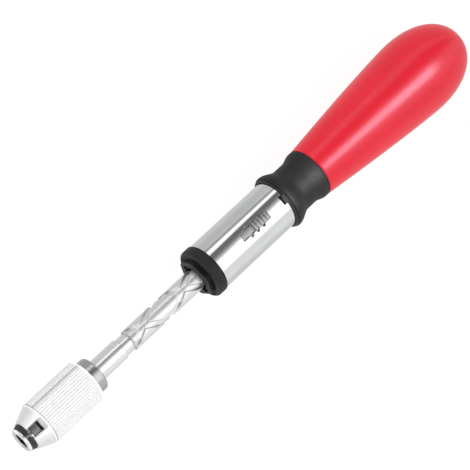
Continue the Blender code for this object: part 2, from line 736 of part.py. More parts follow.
def build_nut(name, centre, hand, step, finish):
    """Saw-toothed ring whose bore has one lug for each groove of its hand."""
    points = []
    for tooth in range(NUT_TEETH):
        middle = math.pi / 2 + hand * tooth * math.tau / NUT_TEETH
        root = NUT_RADIUS - TOOTH_DEPTH
        for turn, radius in (
            (-TOOTH_ROOT_HALF, root),
            (TOOTH_ROOT_HALF, root),
            (TOOTH_ROOT_HALF + TOOTH_FLANK, NUT_RADIUS),
        ):
            angle = middle + hand * turn
            points.append((radius * math.cos(angle), radius * math.sin(angle)))
    front = centre - NUT_LENGTH / 2
    nut = prism(name, points, "X", 0, NUT_LENGTH, (front, 0, 0), finish)
    first = math.floor((front - SPIRAL_FRONT) / step) - 1
    last = math.ceil((front + NUT_LENGTH - SPIRAL_FRONT) / step) + 1
    rings = [(SPIRAL_FRONT + j * step, nut_radii(j, hand)) for j in range(first, last + 1)]
    cut(nut, ring_stack(name + "_bore_cutter", rings))


def build_ratchet(step):
    build_nut("front_nut", SLOT_MID - ROCKER_ARM, -1, step, BRONZE)
    build_nut("rear_nut", SLOT_MID + ROCKER_ARM, 1, step, BRONZE)
    washer_radius = BODY_BORE_RADIUS - SEAT_GAP
    washer_front = BODY_BORE_FRONT + END_GAP
    tube("front_washer", washer_front, washer_front + WASHER_THICKNESS, NUT_BORE_RADIUS, washer_radius, STEEL)
    washer_rear = PLUG_FRONT - END_GAP
    tube("rear_washer", washer_rear - WASHER_THICKNESS, washer_rear, NUT_BORE_RADIUS, washer_radius, STEEL)
    half = ROCKER_ARM - NUT_LENGTH / 2 - END_GAP
    spacer_radius = NUT_BORE_RADIUS + SPACER_WALL
    tube("nut_spacer", SLOT_MID - half, SLOT_MID + half, NUT_BORE_RADIUS, spacer_radius, STEEL)
    tube("rear_plug", PLUG_FRONT, CASING_REAR, NUT_BORE_RADIUS, washer_radius, STEEL)
    tube(
        "front_bush",
        CLIP_AT + CLIP_SEAT + SEAT_GAP,
        BODY_BORE_FRONT - SEAT_GAP,
        NUT_BORE_RADIUS,
        BUSH_RADIUS,
        BRONZE,
    )

    reach = ROCKER_ARM + ROCKER_TOOTH_LENGTH / 2
    belly = ROCKER_BELLY - ROCKER_PIN_HEIGHT
    top = ROCKER_TOP - ROCKER_PIN_HEIGHT
    boss = ROCKER_BOSS / 2
    rocker_outline = [
        (-reach, belly),
        (-boss, belly),
        (-boss, -ROCKER_PIN_DIAMETER),
        (boss, -ROCKER_PIN_DIAMETER),
        (boss, belly),
        (reach, belly),
        (reach, top),
        (-reach, top),
    ]
    pivot = (SLOT_MID, 0, ROCKER_PIN_HEIGHT)
    rocker = prism("rocker_pawl", rocker_outline, "Y", -ROCKER_WIDTH / 2, ROCKER_WIDTH / 2, pivot, STEEL)
    rocker.rotation_euler.y = ROCKER_TILT
    foot = ROCKER_TOOTH_WIDTH / 2
    tip = ROCKER_TOOTH_TIP - ROCKER_PIN_HEIGHT
    tooth_outline = [(-foot, tip), (foot, tip), (2 * foot, belly + SEAT_GAP), (-2 * foot, belly + SEAT_GAP)]
    for side in (-1, 1):
        inner = side * ROCKER_ARM - ROCKER_TOOTH_LENGTH / 2
        label = "front" if side < 0 else "rear"
        tooth = prism(
            f"rocker_{label}_tooth", tooth_outline, "X", inner, inner + ROCKER_TOOTH_LENGTH, pivot
        )
        tooth.rotation_euler.y = ROCKER_TILT
        join(rocker, tooth)
    pin_hole = prism(
        "rocker_pin_cutter",
        circle(ROCKER_PIN_DIAMETER / 2 + SEAT_GAP),
        "Y",
        -ROCKER_PIN_LENGTH / 2 - SEAT_GAP,
        ROCKER_PIN_LENGTH / 2 + SEAT_GAP,
        pivot,
    )
    cut(rocker, pin_hole)
    half = ROCKER_PIN_LENGTH / 2
    prism("rocker_pin", circle(ROCKER_PIN_DIAMETER / 2), "Y", -half, half, pivot, STEEL)
    return pin_hole


def build_body(pin_hole):
    """Casting that seats in the casing, carries the mechanism and holds the handle."""
    retainer_front = RING_REAR - RING_LIP_LENGTH - END_GAP - RETAINER_THICKNESS
    groove = RETAINER_BORE_RADIUS - SEAT_GAP
    bush_seat = BUSH_RADIUS + SEAT_GAP
    body = turned(
        "ratchet_body",
        [
            (HUB_FRONT, NUT_BORE_RADIUS),
            (HUB_FRONT, HUB_RADIUS),
            (retainer_front - SEAT_GAP, HUB_RADIUS),
            (retainer_front - SEAT_GAP, groove),
            (retainer_front + RETAINER_THICKNESS + SEAT_GAP, groove),
            (retainer_front + RETAINER_THICKNESS + SEAT_GAP, HUB_RADIUS),
            (BODY_FLANGE_FRONT, HUB_RADIUS),
            (BODY_FLANGE_FRONT, SEATED_RADIUS),
            (BODY_FLANGE_REAR, SEATED_RADIUS),
            (BODY_FLANGE_REAR, BODY_RADIUS),
            (REAR_FLANGE_FRONT, BODY_RADIUS),
            (REAR_FLANGE_FRONT, SEATED_RADIUS),
            (CASING_REAR, SEATED_RADIUS),
            (CASING_REAR, SPIGOT_RADIUS),
            (SPIGOT_REAR, SPIGOT_RADIUS),
            (SPIGOT_REAR, TUBE_SEAT_RADIUS),
            (CASING_REAR, TUBE_SEAT_RADIUS),
            (CASING_REAR, BODY_BORE_RADIUS),
            (BODY_BORE_FRONT, BODY_BORE_RADIUS),
            (BODY_BORE_FRONT, bush_seat),
            (CLIP_AT + CLIP_SEAT, bush_seat),
            (CLIP_AT + CLIP_SEAT, CLIP_GROOVE_RADIUS),
            (CLIP_AT - CLIP_SEAT / 2, CLIP_GROOVE_RADIUS),
            (CLIP_AT - CLIP_SEAT / 2, NUT_BORE_RADIUS),
        ],
        finish=ZINC,
    )
    half = ROCKER_WIDTH / 2 + END_GAP
    reach = ROCKER_ARM + ROCKER_TOOTH_LENGTH / 2 + 2 * END_GAP
    cut(
        body,
        box("rocker_slot_cutter", (SLOT_MID - reach, SLOT_MID + reach), (-half, half), (0, CASING_RADIUS)),
        pin_hole,
        box(
            "clip_window_cutter",
            (CLIP_AT - CLIP_SEAT / 2, CLIP_AT + CLIP_SEAT / 2),
            (-CASING_RADIUS, CASING_RADIUS),
            (-CLIP_WINDOW / 2, CLIP_WINDOW / 2),
        ),
    )

    arc = []
    for i in range(2 * CURVE_STEPS + 1):
        angle = CLIP_ARC * (i / (2 * CURVE_STEPS) - 0.5) - math.pi / 2
        arc.append((0, CLIP_RADIUS * math.cos(angle), CLIP_RADIUS * math.sin(angle)))
    wire("lock_clip", arc, CLIP_WIRE, STEEL, (CLIP_AT + CLIP_SEAT / 4, 0, 0))

    retainer = tube(
        "ring_retainer",
        retainer_front,
        retainer_front + RETAINER_THICKNESS,
        RETAINER_BORE_RADIUS,
        RETAINER_RADIUS,
        DARK_STEEL,
    )
    half = RETAINER_MOUTH / 2
    cut(retainer, box("retainer_mouth_cutter", (RING_FRONT, RING_REAR), (-half, half), (-CASING_RADIUS, 0)))


def build_lock_ring():
    flange = FLANGE_DIAMETER / 2
    front = BOSS_LENGTH
    rear = BOSS_LENGTH + FLANGE_LENGTH
    end = rear + RING_SPIGOT_LENGTH
    outline = [(front, 0)]
    for i in range(CURVE_STEPS // 2 + 1):
        angle = i * math.pi / CURVE_STEPS
        drop = FLANGE_ROUND * (1 - math.sin(angle))
        outline.append((front + FLANGE_ROUND * (1 - math.cos(angle)), flange - drop))
    outline += [(rear, flange), (rear, SEATED_RADIUS), (end, SEATED_RADIUS), (end, 0)]
    ring = turned("lock_ring", outline, RING_FRONT, BLACK_PLASTIC)
    boss = prism(
        "lock_boss",
        clipped_hexagon(BOSS_ACROSS_FLATS, BOSS_CORNER_DIAMETER, BOSS_TURN),
        "X",
        0,
        front + END_GAP,
        (RING_FRONT, 0, 0),
    )
    mouth = NUT_BORE_RADIUS + RING_MOUTH_ROOM
    lip = HUB_RADIUS + RUN_GAP
    pocket = (BOSS_ACROSS_FLATS / 2 + mouth) / 2
    cavity_front = HUB_FRONT - END_GAP - RING_FRONT
    bore = turned(
        "lock_bore_cutter",
        [
            (-END_GAP, 0),
            (-END_GAP, mouth),
            (BOSS_WALL, mouth),
            (BOSS_WALL, pocket),
            (cavity_front, pocket),
            (cavity_front, RING_CAVITY_RADIUS),
            (end - RING_LIP_LENGTH, RING_CAVITY_RADIUS),
            (end - RING_LIP_LENGTH, lip),
            (end + END_GAP, lip),
            (end + END_GAP, 0),
        ],
        RING_FRONT,
    )
    half = RING_NOTCH_WIDTH / 2
    reach = mouth + RING_NOTCH_DEPTH
    notch = box("lock_notch_cutter", (RING_FRONT - END_GAP, FLANGE_FRONT), (-reach, reach), (-half, half))
    join(ring, boss)
    cut(ring, bore, notch)


def slot_outline():
    """Selector slot in plan, with a pair of half-round detents for each selector position."""
    half = SLOT_WIDTH / 2
    side = []
    for position in range(DETENT_COUNT):
        centre = SELECTOR_TRAVEL * (position / (DETENT_COUNT - 1) - 0.5)
        for i in range(CURVE_STEPS + 1):
            angle = math.pi - i * math.pi / CURVE_STEPS
            along = centre + DETENT_DIAMETER / 2 * math.cos(angle)
            side.append((along, half + DETENT_DIAMETER / 2 * math.sin(angle)))
    upper = [(-SLOT_LENGTH / 2, half)] + side + [(SLOT_LENGTH / 2, half)]
    lower = [(x, -y) for x, y in reversed(upper)]
    return upper + lower


def build_casing():
    casing = tube("casing", CASING_FRONT, CASING_REAR, CASING_BORE_RADIUS, CASING_RADIUS, CHROME)
    half = KEY_WIDTH / 2 + SEAT_GAP
    notch_front = NECK_FRONT - KEY_LENGTH - END_GAP
    cut(
        casing,
        prism("slot_cutter", slot_outline(), "Z", 0, CASING_DIAMETER, (SLOT_MID, 0, 0)),
        box("key_notch_cutter", (notch_front, CASING_REAR + END_GAP), (-half, half), (0, CASING_DIAMETER)),
    )


def build_selector():
    plate_outline = []
    for radius, sense in ((PLATE_BORE_RADIUS, 1), (SEATED_RADIUS, -1)):
        for i in range(CURVE_STEPS + 1):
            angle = math.pi / 2 + sense * PLATE_HALF_ANGLE * (2 * i / CURVE_STEPS - 1)
            plate_outline.append((radius * math.cos(angle), radius * math.sin(angle)))
    selector = prism(
        "selector_button", plate_outline, "X", PLATE_FRONT, PLATE_FRONT + PLATE_LENGTH, finish=STEEL
    )
    half = BUTTON_LENGTH / 2
    pitch = BUTTON_LENGTH / BUTTON_RIBS
    base = SEATED_RADIUS - PLATE_THICKNESS / 2
    thumb = [(-half, base)]
    for rib in range(BUTTON_RIBS):
        left = -half + rib * pitch
        thumb += [
            (left, BUTTON_TOP),
            (left + pitch / 4, BUTTON_TOP + RIB_HEIGHT),
            (left + pitch / 2, BUTTON_TOP + RIB_HEIGHT),
            (left + 3 * pitch / 4, BUTTON_TOP),
        ]
    thumb += [(half, BUTTON_TOP), (half, base)]
    width = SLOT_WIDTH / 2 - SLOT_END_GAP
    join(selector, prism("selector_thumb", thumb, "Y", -width, width, (BUTTON_AT, 0, 0)))
    hole = DETENT_BALL_DIAMETER / 2 + SEAT_GAP
    roof = BUTTON_TOP - BUTTON_RISE / 2
    cut(selector, prism("detent_hole_cutter", circle(hole), "Z", 0, roof, (BUTTON_AT, 0, 0)))
    bm = bmesh.new()
    radius = DETENT_BALL_DIAMETER / 2
    bmesh.ops.create_uvsphere(bm, u_segments=PIN_SEGMENTS, v_segments=CURVE_STEPS, radius=radius)
    add_mesh("detent_ball", bm, STEEL, (BUTTON_AT, 0, DETENT_BALL_HEIGHT))
    coil(
        "detent_spring",
        DETENT_BALL_HEIGHT + DETENT_BALL_DIAMETER / 2 - SEAT_GAP,
        roof,
        DETENT_BALL_DIAMETER / 2 - DETENT_WIRE,
        DETENT_WIRE,
        DETENT_TURNS,
        STEEL,
        "Z",
        (BUTTON_AT, 0, 0),
    )


def build_return():
    bore = JOURNAL_DIAMETER / 2 + SEAT_GAP
    hub = FOLLOWER_HUB_DIAMETER / 2
    length = FOLLOWER_FLANGE + FOLLOWER_HUB_LENGTH
    turned(
        "spring_follower",
        [
            (0, bore),
            (0, FOLLOWER_RADIUS),
            (FOLLOWER_FLANGE, FOLLOWER_RADIUS),
            (FOLLOWER_FLANGE, hub),
            (length, hub),
            (length, bore),
        ],
        FOLLOWER_FRONT,
        STEEL,
    )
    tube("spring_tube", TUBE_FRONT, SPRING_SEAT_FRONT - END_GAP, TUBE_BORE_RADIUS, TUBE_RADIUS, STEEL)
    turned(
        "spring_seat",
        [
            (-SEAT_HUB_LENGTH, 0),
            (-SEAT_HUB_LENGTH, hub),
            (0, hub),
            (0, TUBE_RADIUS),
            (SEAT_FLANGE, TUBE_RADIUS),
            (SEAT_FLANGE, 0),
        ],
        SPRING_SEAT_FRONT,
        BLACK_PLASTIC,
    )
    coil(
        "return_spring",
        FOLLOWER_FRONT + FOLLOWER_FLANGE,
        SPRING_SEAT_FRONT,
        RETURN_SPRING_RADIUS,
        RETURN_SPRING_WIRE,
        RETURN_SPRING_TURNS,
        STEEL,
    )


def build_handle():
    lip = NECK_LIP_DIAMETER / 2
    waist = NECK_WAIST_DIAMETER / 2
    grip_front = HANDLE_FRONT_DIAMETER / 2
    socket = CASING_RADIUS + SEAT_GAP
    floor = NECK_LAP + END_GAP
    outline = [(floor, NECK_BORE_RADIUS), (floor, socket), (0, socket)]
    for i in range(CURVE_STEPS // 2):
        angle = i * math.pi / CURVE_STEPS
        outline.append((NECK_LIP_AT * (1 - math.cos(angle)), lip - NECK_LIP_EDGE * (1 - math.sin(angle))))
    outline += eased((NECK_LIP_AT, lip), (NECK_WAIST_FROM, waist), CURVE_STEPS)
    outline += eased((NECK_WAIST_TO, waist), (NECK_LENGTH - NECK_LAND, grip_front), CURVE_STEPS)
    outline += [(NECK_LENGTH, grip_front), (NECK_LENGTH, NECK_BORE_RADIUS)]
    neck = turned("neck_collar", outline, NECK_FRONT, BLACK_PLASTIC)
    key = box(
        "neck_key",
        (NECK_FRONT - KEY_LENGTH, NECK_FRONT + 2 * floor),
        (-KEY_WIDTH / 2, KEY_WIDTH / 2),
        (SEATED_RADIUS + RUN_GAP, CASING_RADIUS - SEAT_GAP),
    )
    join(neck, key)

    widest = HANDLE_DIAMETER / 2
    bore = TUBE_SEAT_RADIUS
    depth = HANDLE_BORE_REAR - HANDLE_FRONT
    step = SPIGOT_IN_HANDLE + END_GAP
    outline = [(depth, 0), (depth, bore), (step, bore), (step, NECK_BORE_RADIUS), (0, NECK_BORE_RADIUS)]
    for i in range(CURVE_STEPS):
        share = i / CURVE_STEPS
        radius = grip_front + (widest - grip_front) * (1 - (1 - share) ** HANDLE_TAPER_POWER)
        outline.append((HANDLE_TAPER_LENGTH * share, radius))
    for i in range(CURVE_STEPS + 1):
        angle = i * math.pi / 2 / CURVE_STEPS
        along = HANDLE_END_LENGTH * math.sin(angle) ** (2 / HANDLE_END_POWER)
        radius = widest * math.cos(angle) ** (2 / HANDLE_END_POWER) if i < CURVE_STEPS else 0
        outline.append((HANDLE_TAPER_LENGTH + along, radius))
    turned("handle_grip", outline, HANDLE_FRONT, RED_PLASTIC)


def main():
    clear_scene()
    add_datum()
    chuck_pin_hole = build_chuck()
    build_sleeve()
    step = build_spindle(chuck_pin_hole)
    rocker_pin_hole = build_ratchet(step)
    build_body(rocker_pin_hole)
    build_lock_ring()
    build_casing()
    build_selector()
    build_return()
    build_handle()


if __name__ == "__main__":
    main()
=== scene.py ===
"""Push-action spiral ratchet screwdriver: fine surfaces, finishes and studio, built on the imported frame."""
import json
import math

import bmesh
import bpy
from bpy.props import FloatProperty, FloatVectorProperty, IntProperty, PointerProperty
from mathutils import Matrix, Vector

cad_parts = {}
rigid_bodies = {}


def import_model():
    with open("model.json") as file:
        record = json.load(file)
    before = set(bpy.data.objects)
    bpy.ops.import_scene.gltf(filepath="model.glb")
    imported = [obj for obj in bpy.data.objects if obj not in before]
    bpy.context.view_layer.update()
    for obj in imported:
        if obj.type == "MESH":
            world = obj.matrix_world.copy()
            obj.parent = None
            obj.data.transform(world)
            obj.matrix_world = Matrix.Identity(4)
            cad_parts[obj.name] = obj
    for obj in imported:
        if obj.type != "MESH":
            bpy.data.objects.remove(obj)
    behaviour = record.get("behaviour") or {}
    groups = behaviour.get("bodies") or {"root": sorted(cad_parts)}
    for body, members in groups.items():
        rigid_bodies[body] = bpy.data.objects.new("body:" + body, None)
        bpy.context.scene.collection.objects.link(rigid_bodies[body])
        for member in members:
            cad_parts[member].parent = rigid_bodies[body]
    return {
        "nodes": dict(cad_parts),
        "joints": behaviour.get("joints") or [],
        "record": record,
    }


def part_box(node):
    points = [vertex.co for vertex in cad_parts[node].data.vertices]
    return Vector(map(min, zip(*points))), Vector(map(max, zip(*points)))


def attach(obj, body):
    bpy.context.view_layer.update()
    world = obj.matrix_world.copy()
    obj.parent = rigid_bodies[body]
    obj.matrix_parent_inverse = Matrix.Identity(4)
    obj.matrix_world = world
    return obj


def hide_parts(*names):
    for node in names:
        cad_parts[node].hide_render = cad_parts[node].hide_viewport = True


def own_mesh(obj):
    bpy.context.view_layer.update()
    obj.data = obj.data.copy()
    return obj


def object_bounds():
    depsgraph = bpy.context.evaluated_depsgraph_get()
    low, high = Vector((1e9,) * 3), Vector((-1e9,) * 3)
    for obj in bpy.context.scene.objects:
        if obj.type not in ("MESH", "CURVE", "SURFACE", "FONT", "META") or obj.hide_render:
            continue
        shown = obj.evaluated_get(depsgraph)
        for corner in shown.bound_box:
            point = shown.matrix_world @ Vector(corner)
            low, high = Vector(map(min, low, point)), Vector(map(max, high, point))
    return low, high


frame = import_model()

bl_info = {
    "name": "Spiral ratchet screwdriver",
    "version": (1, 0, 0),
    "blender": (4, 5, 0),
    "location": "View3D > Sidebar > Screwdriver",
    "description": "Fine surfaces, finishes and studio for a push-action screwdriver",
    "category": "Object",
}

MM = 0.001
CAD_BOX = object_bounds()
TIP_X = CAD_BOX[0].x
FLOOR_Z = CAD_BOX[0].z
SEAT_GAP = 0.15 * MM
POLE = 1e-7
ROUND = 160
ARC_STEPS = 10
CAD_FACETS = 32
# How far the painted shade inside the bit socket reaches, and where behind the tip it starts.
SOCKET_SHADE_REACH = 3.9 * MM
SOCKET_SHADE_EDGE = 0.9 * MM
FINE_EDGE = 0.12 * MM
LATCH_EDGE = 0.2 * MM
MOULD_EDGE = 0.3 * MM
BOSS_EDGE = 0.35 * MM
WINDOW_EDGE = 0.7 * MM
KEY_RISE = 0.9 * MM
SHANK_BEVEL = 0.1 * MM
SPIRAL_BEVEL = 0.2 * MM
RING_LINE = 0.14 * MM
# Turn and width of the dark reflection that is painted into the sleeve's finish.
REFLECTION_TURN = math.radians(49.5)
REFLECTION_WIDTH = math.radians(4)
# Turn of the painted shade along one flank of the sleeve.
SHADED_FLANK_TURN = math.radians(86)
FRONT_CARD = 1.1
BACKDROP = (0.95, 0.95, 0.95)
# Turn about the tool's axis in degrees, and the level of the light that comes from there.
LIGHT_BANDS = (
    (-180, 0.66), (-131, 0.64), (-109, 0.74), (-98, 0.83), (-60, 0.79), (-49, 1.3), (-9, 1.3), (-3, 0.75),
    (4, 0.42), (12, 0.22), (20, 0.15), (33, 0.16), (39, 1.2), (54, 1.2), (57, 0.34), (63, 0.34), (70, 0.58),
    (85, 0.54), (103, 0.54), (125, 0.64), (180, 0.66),
)
BRIGHTEST = 1.3


def along(node):
    """Front and rear of a CAD node on the tool's axis."""
    low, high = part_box(node)
    return low.x, high.x


def reach(node):
    """Radius of a turned CAD node, whose facets leave its box a little short of it."""
    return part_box(node)[1].y / math.cos(math.pi / CAD_FACETS)


def length(name, description, default):
    return FloatProperty(
        name=name, description=description, default=default, unit="LENGTH", subtype="DISTANCE"
    )


def number(name, description, default):
    return FloatProperty(name=name, description=description, default=default)


def angle(name, description, degrees):
    return FloatProperty(name=name, description=description, default=math.radians(degrees), subtype="ANGLE")


def count(name, description, default):
    return IntProperty(name=name, description=description, default=default, min=1)


def colour(name, description, default):
    return FloatVectorProperty(
        name=name, description=description, default=default, subtype="COLOR", size=3, min=0, max=1
    )


class HandleSizes(bpy.types.PropertyGroup):
    """Sizes of the grip and its neck collar"""

    front_diameter: length("Front diameter", "Diameter of the grip where it meets the neck", 0.0233)
    widest_diameter: length("Widest diameter", "Largest diameter of the grip", 0.0357)
    taper_length: length("Taper length", "Length from the front to the widest place", 0.0657)
    taper_power: number("Taper power", "How early the taper swells", 1.25)
    end_power: number("End power", "How square the rounded end is", 2.2)
    edge: length("Edge", "Rounding of the grip's front edge", 0.0003)
    spigot_bore: length("Spigot bore", "Radius of the bore that takes the ratchet body", 0.00875)
    neck_length: length("Neck length", "Length of the neck collar without its key", 0.0208)
    lip_diameter: length("Lip diameter", "Largest diameter of the neck collar", 0.02565)
    lip_bead: length("Lip bead", "Width of the bead on the neck's rim", 0.0009)
    waist_diameter: length("Waist diameter", "Diameter of the neck's waist", 0.0207)
    waist_from: length("Waist from", "Where the waist starts behind the rim", 0.0092)
    waist_to: length("Waist to", "Where the waist ends behind the rim", 0.0138)
    land: length("Land", "Straight band next to the grip", 0.0015)
    lap: length("Lap", "How far the neck laps over the casing", 0.0015)


class CasingSizes(bpy.types.PropertyGroup):
    """Sizes of the chromed casing"""

    wall: length("Wall", "Thickness of the casing", 0.001)
    slot_length: length("Slot length", "Length of the selector slot", 0.016)
    slot_width: length("Slot width", "Width of the selector slot", 0.0039)
    scallop: length("Scallop", "Diameter of the slot's scallops", 0.002)
    scallop_pitch: length("Scallop pitch", "Distance between the slot's scallops", 0.0034)
    rib_height: length("Rib height", "Height of the selector's ribs", 0.0005)
    key_width: length("Key width", "Width of the key in the casing's rear edge", 0.004)
    key_length: length("Key length", "Length of the key in front of the neck", 0.0017)
    edge: length("Edge", "Rounding of the casing's ends", 0.00025)
    dent: angle("Dent", "Slant of the dented wall beside the slot, at its rear", 4.2)
    dent_fade: angle("Dent fade", "Turn over which the dent fades out on the far side of the slot", 15)
    dent_edge: angle("Dent edge", "Turn over which the dent fades out on the near side", 6)
    dent_end: angle("Dent end", "Turn from the slot's middle at which the dent ends", 27)


class RingSizes(bpy.types.PropertyGroup):
    """Sizes of the lock ring"""

    boss_flats: length("Boss flats", "Width of the hexagonal boss across its flats", 0.016)
    boss_corners: length("Boss corners", "Diameter that clips the boss's corners", 0.0177)
    boss_length: length("Boss length", "Length of the boss", 0.0022)
    boss_turn: angle("Boss turn", "Turn of the boss on the tool's axis", 17)
    flange_length: length("Flange length", "Length of the flange", 0.0047)
    flange_round: length("Flange round", "Rounding of the flange's front", 0.0014)
    groove_inner: length("Groove inner", "Inner radius of the hollow round the boss", 0.0087)
    groove_outer: length("Groove outer", "Outer radius of the hollow round the boss", 0.0101)
    boss_wall: length("Boss wall", "Thickness of the boss's front wall", 0.0014)
    mouth: length("Mouth", "Radius of the spindle's hole", 0.00575)
    pocket: length("Pocket", "Radius of the space behind the boss's front wall", 0.006675)
    cavity_from: length("Cavity from", "Where the space for the retainer starts", 0.0032)
    cavity: length("Cavity", "Radius of the space for the retainer", 0.0087)
    lip_length: length("Lip length", "Thickness of the rear lip", 0.0013)
    lip_bore: length("Lip bore", "Radius of the rear lip", 0.00795)
    notch_width: length("Notch width", "Width of the two notches in the mouth", 0.003)
    notch_depth: length("Notch depth", "Depth of the two notches in the mouth", 0.0012)


class SpindleSizes(bpy.types.PropertyGroup):
    """Sizes of the spiral spindle"""

    tang_radius: length("Tang radius", "Radius of the tang in the chuck", 0.0039)
    shank_radius: length("Shank radius", "Radius of the plain shank", 0.0046)
    shank_length: length("Shank length", "Length of the plain shank", 0.01435)
    neck_radius: length("Neck radius", "Radius of the lock neck", 0.004)
    neck_length: length("Neck length", "Length of the lock neck", 0.0046)
    edge: length("Edge", "Bevel on both sides of the lock neck", 0.0004)
    radius: length("Spiral radius", "Radius of the lands between the grooves", 0.0047)
    groove_depth: length("Groove depth", "Depth of the grooves", 0.001)
    groove_floor: length("Groove floor", "Width of a groove's floor along the axis", 0.0031)
    groove_width: length("Groove width", "Width of a groove along the axis at the top", 0.0058)
    lead: length("Lead", "Advance of a groove in one turn", 0.046)
    phase: length("Phase", "Place of the first crossing along the axis", 0.0043125)
    turn: angle("Turn", "Turn of the grooves about the axis", -10)
    journal_radius: length("Journal radius", "Radius of the journal in the follower", 0.0026)
    journal_length: length("Journal length", "Length of the journal", 0.0047)
    plain_rear: length("Plain rear", "Ungrooved length in front of the journal", 0.0054)
    screw_radius: length("Screw radius", "Radius of the hole for the screw", 0.00155)
    screw_depth: length("Screw depth", "Depth of the hole for the screw", 0.0073)


class ChuckSizes(bpy.types.PropertyGroup):
    """Sizes of the chuck sleeve, snap ring and collar"""

    nose_diameter: length("Nose diameter", "Diameter of the sleeve's front", 0.0133)
    cone_length: length("Cone length", "Length of the sleeve's cone", 0.0069)
    edge: length("Edge", "Rounding of the sleeve's rear edge", 0.00035)
    bore: length("Bore", "Radius of the sleeve's bore", 0.0059)
    chamber: length("Chamber", "Radius of the spring chamber", 0.00795)
    chamber_length: length("Chamber length", "Length of the spring chamber", 0.0133)
    window_width: length("Window width", "Width of the window in the cone", 0.0054)
    window_slope: length("Window slope", "Length of the window's sloped rear", 0.0017)
    window_floor: length("Window floor", "Height of the window's floor", 0.0053)
    latch_room: length("Latch room", "Room round the lifted latch inside the sleeve", 0.0003)
    shoulder_line: length("Shoulder line", "Half width of the turned line on the shoulder", 0.00016)
    rib_count: count("Ribs", "Number of ribs round the sleeve", 50)
    rib_height: length("Rib height", "How far the ribs stand proud", 0.00022)
    rib_width: length("Rib width", "Width of a rib at its widest", 0.00106)
    plain_front: length("Plain front", "Plain band behind the shoulder", 0.0007)
    plain_rear: length("Plain rear", "Plain band before the rear edge", 0.0008)
    collar_round: length("Collar round", "Rounding of the collar's rear edge", 0.0012)
    ring_front: length("Ring front", "Radius of the snap ring's front", 0.0055)
    ring_rear: length("Ring rear", "Radius of the snap ring's rear", 0.00615)
    ring_bore: length("Ring bore", "Radius of the snap ring's bore", 0.00475)
    ring_mouth: length("Ring mouth", "Opening of the snap ring", 0.0016)


class SpringSizes(bpy.types.PropertyGroup):
    """Sizes of the two coil springs"""

    return_wire: length("Return wire", "Wire of the return spring", 0.0011)
    return_turns: number("Return turns", "Turns of the return spring", 14)
    sleeve_wire: length("Sleeve wire", "Wire of the sleeve spring", 0.001)
    sleeve_turns: number("Sleeve turns", "Turns of the sleeve spring", 4)


class FinishColours(bpy.types.PropertyGroup):
    """Colours of the finishes"""

    red: colour("Red", "Moulded grip", (0.9, 0.0145, 0.031))
    black: colour("Black", "Moulded black parts", (0.0105, 0.0105, 0.011))
    chrome: colour("Chrome", "Plated casing", (0.86, 0.87, 0.88))
    aluminium: colour("Aluminium", "Turned sleeve", (0.93, 0.932, 0.935))
    bright_steel: colour("Bright steel", "Polished spindle", (0.94, 0.942, 0.945))
    steel: colour("Steel", "Turned steel parts", (0.6, 0.605, 0.61))
    dark_steel: colour("Dark steel", "Hardened latch", (0.09, 0.09, 0.095))
    bronze: colour("Bronze", "Bearing bronze", (0.56, 0.36, 0.16))
    zinc: colour("Zinc", "Die-cast body", (0.42, 0.43, 0.45))
    selector: colour("Selector", "Pressed selector button", (0.52, 0.523, 0.527))
    latch: colour("Latch", "Bit latch", (0.27, 0.27, 0.275))
    # The socket colour is painted shade: near black inside the bit socket.
    socket: colour("Socket", "Inside of the bit socket", (0.012, 0.012, 0.013))
    floor: colour("Floor", "Studio floor", (0.14, 0.14, 0.14))


class StudioSettings(bpy.types.PropertyGroup):
    """Camera and light of the studio"""

    distance: length("Distance", "Distance of the camera from the tool's axis", 0.87475)
    foot: length("Foot", "Place of the camera along the axis, from the tip", -0.22151)
    aim: length("Aim", "Place it points at along the axis, from the tip", 0.12465)
    aside: length("Aside", "Distance from the axis of the place it points at", 0.00223)
    tilt: angle("Tilt", "Turn of the camera about the tool's axis", 3.106)
    roll: angle("Roll", "Slant of the tool in the picture", 42.876)
    focal: number("Focal length", "Focal length in widths of the picture", 4.8865)
    brightness: number("Brightness", "Strength of the studio light", 1.0)


class ScrewdriverSettings(bpy.types.PropertyGroup):
    """All that can be changed on the screwdriver"""

    handle: PointerProperty(type=HandleSizes)
    casing: PointerProperty(type=CasingSizes)
    ring: PointerProperty(type=RingSizes)
    spindle: PointerProperty(type=SpindleSizes)
    chuck: PointerProperty(type=ChuckSizes)
    springs: PointerProperty(type=SpringSizes)
    colours: PointerProperty(type=FinishColours)
    studio: PointerProperty(type=StudioSettings)


class Value:
    """A shader socket that adds Math nodes when it is used in an expression."""

    def __init__(self, nodes, socket):
        self.nodes = nodes
        self.socket = socket

    def math(self, operation, first, second):
        return self.nodes.add("ShaderNodeMath", {"operation": operation}, {0: first, 1: second})

    def __add__(self, other):
        return self.math("ADD", self, other)

    def __radd__(self, other):
        return self.math("ADD", other, self)

    def __sub__(self, other):
        return self.math("SUBTRACT", self, other)

    def __rsub__(self, other):
        return self.math("SUBTRACT", other, self)

    def __mul__(self, other):
        return self.math("MULTIPLY", self, other)

    def __rmul__(self, other):
        return self.math("MULTIPLY", other, self)

    def __pow__(self, other):
        return self.math("POWER", self, other)


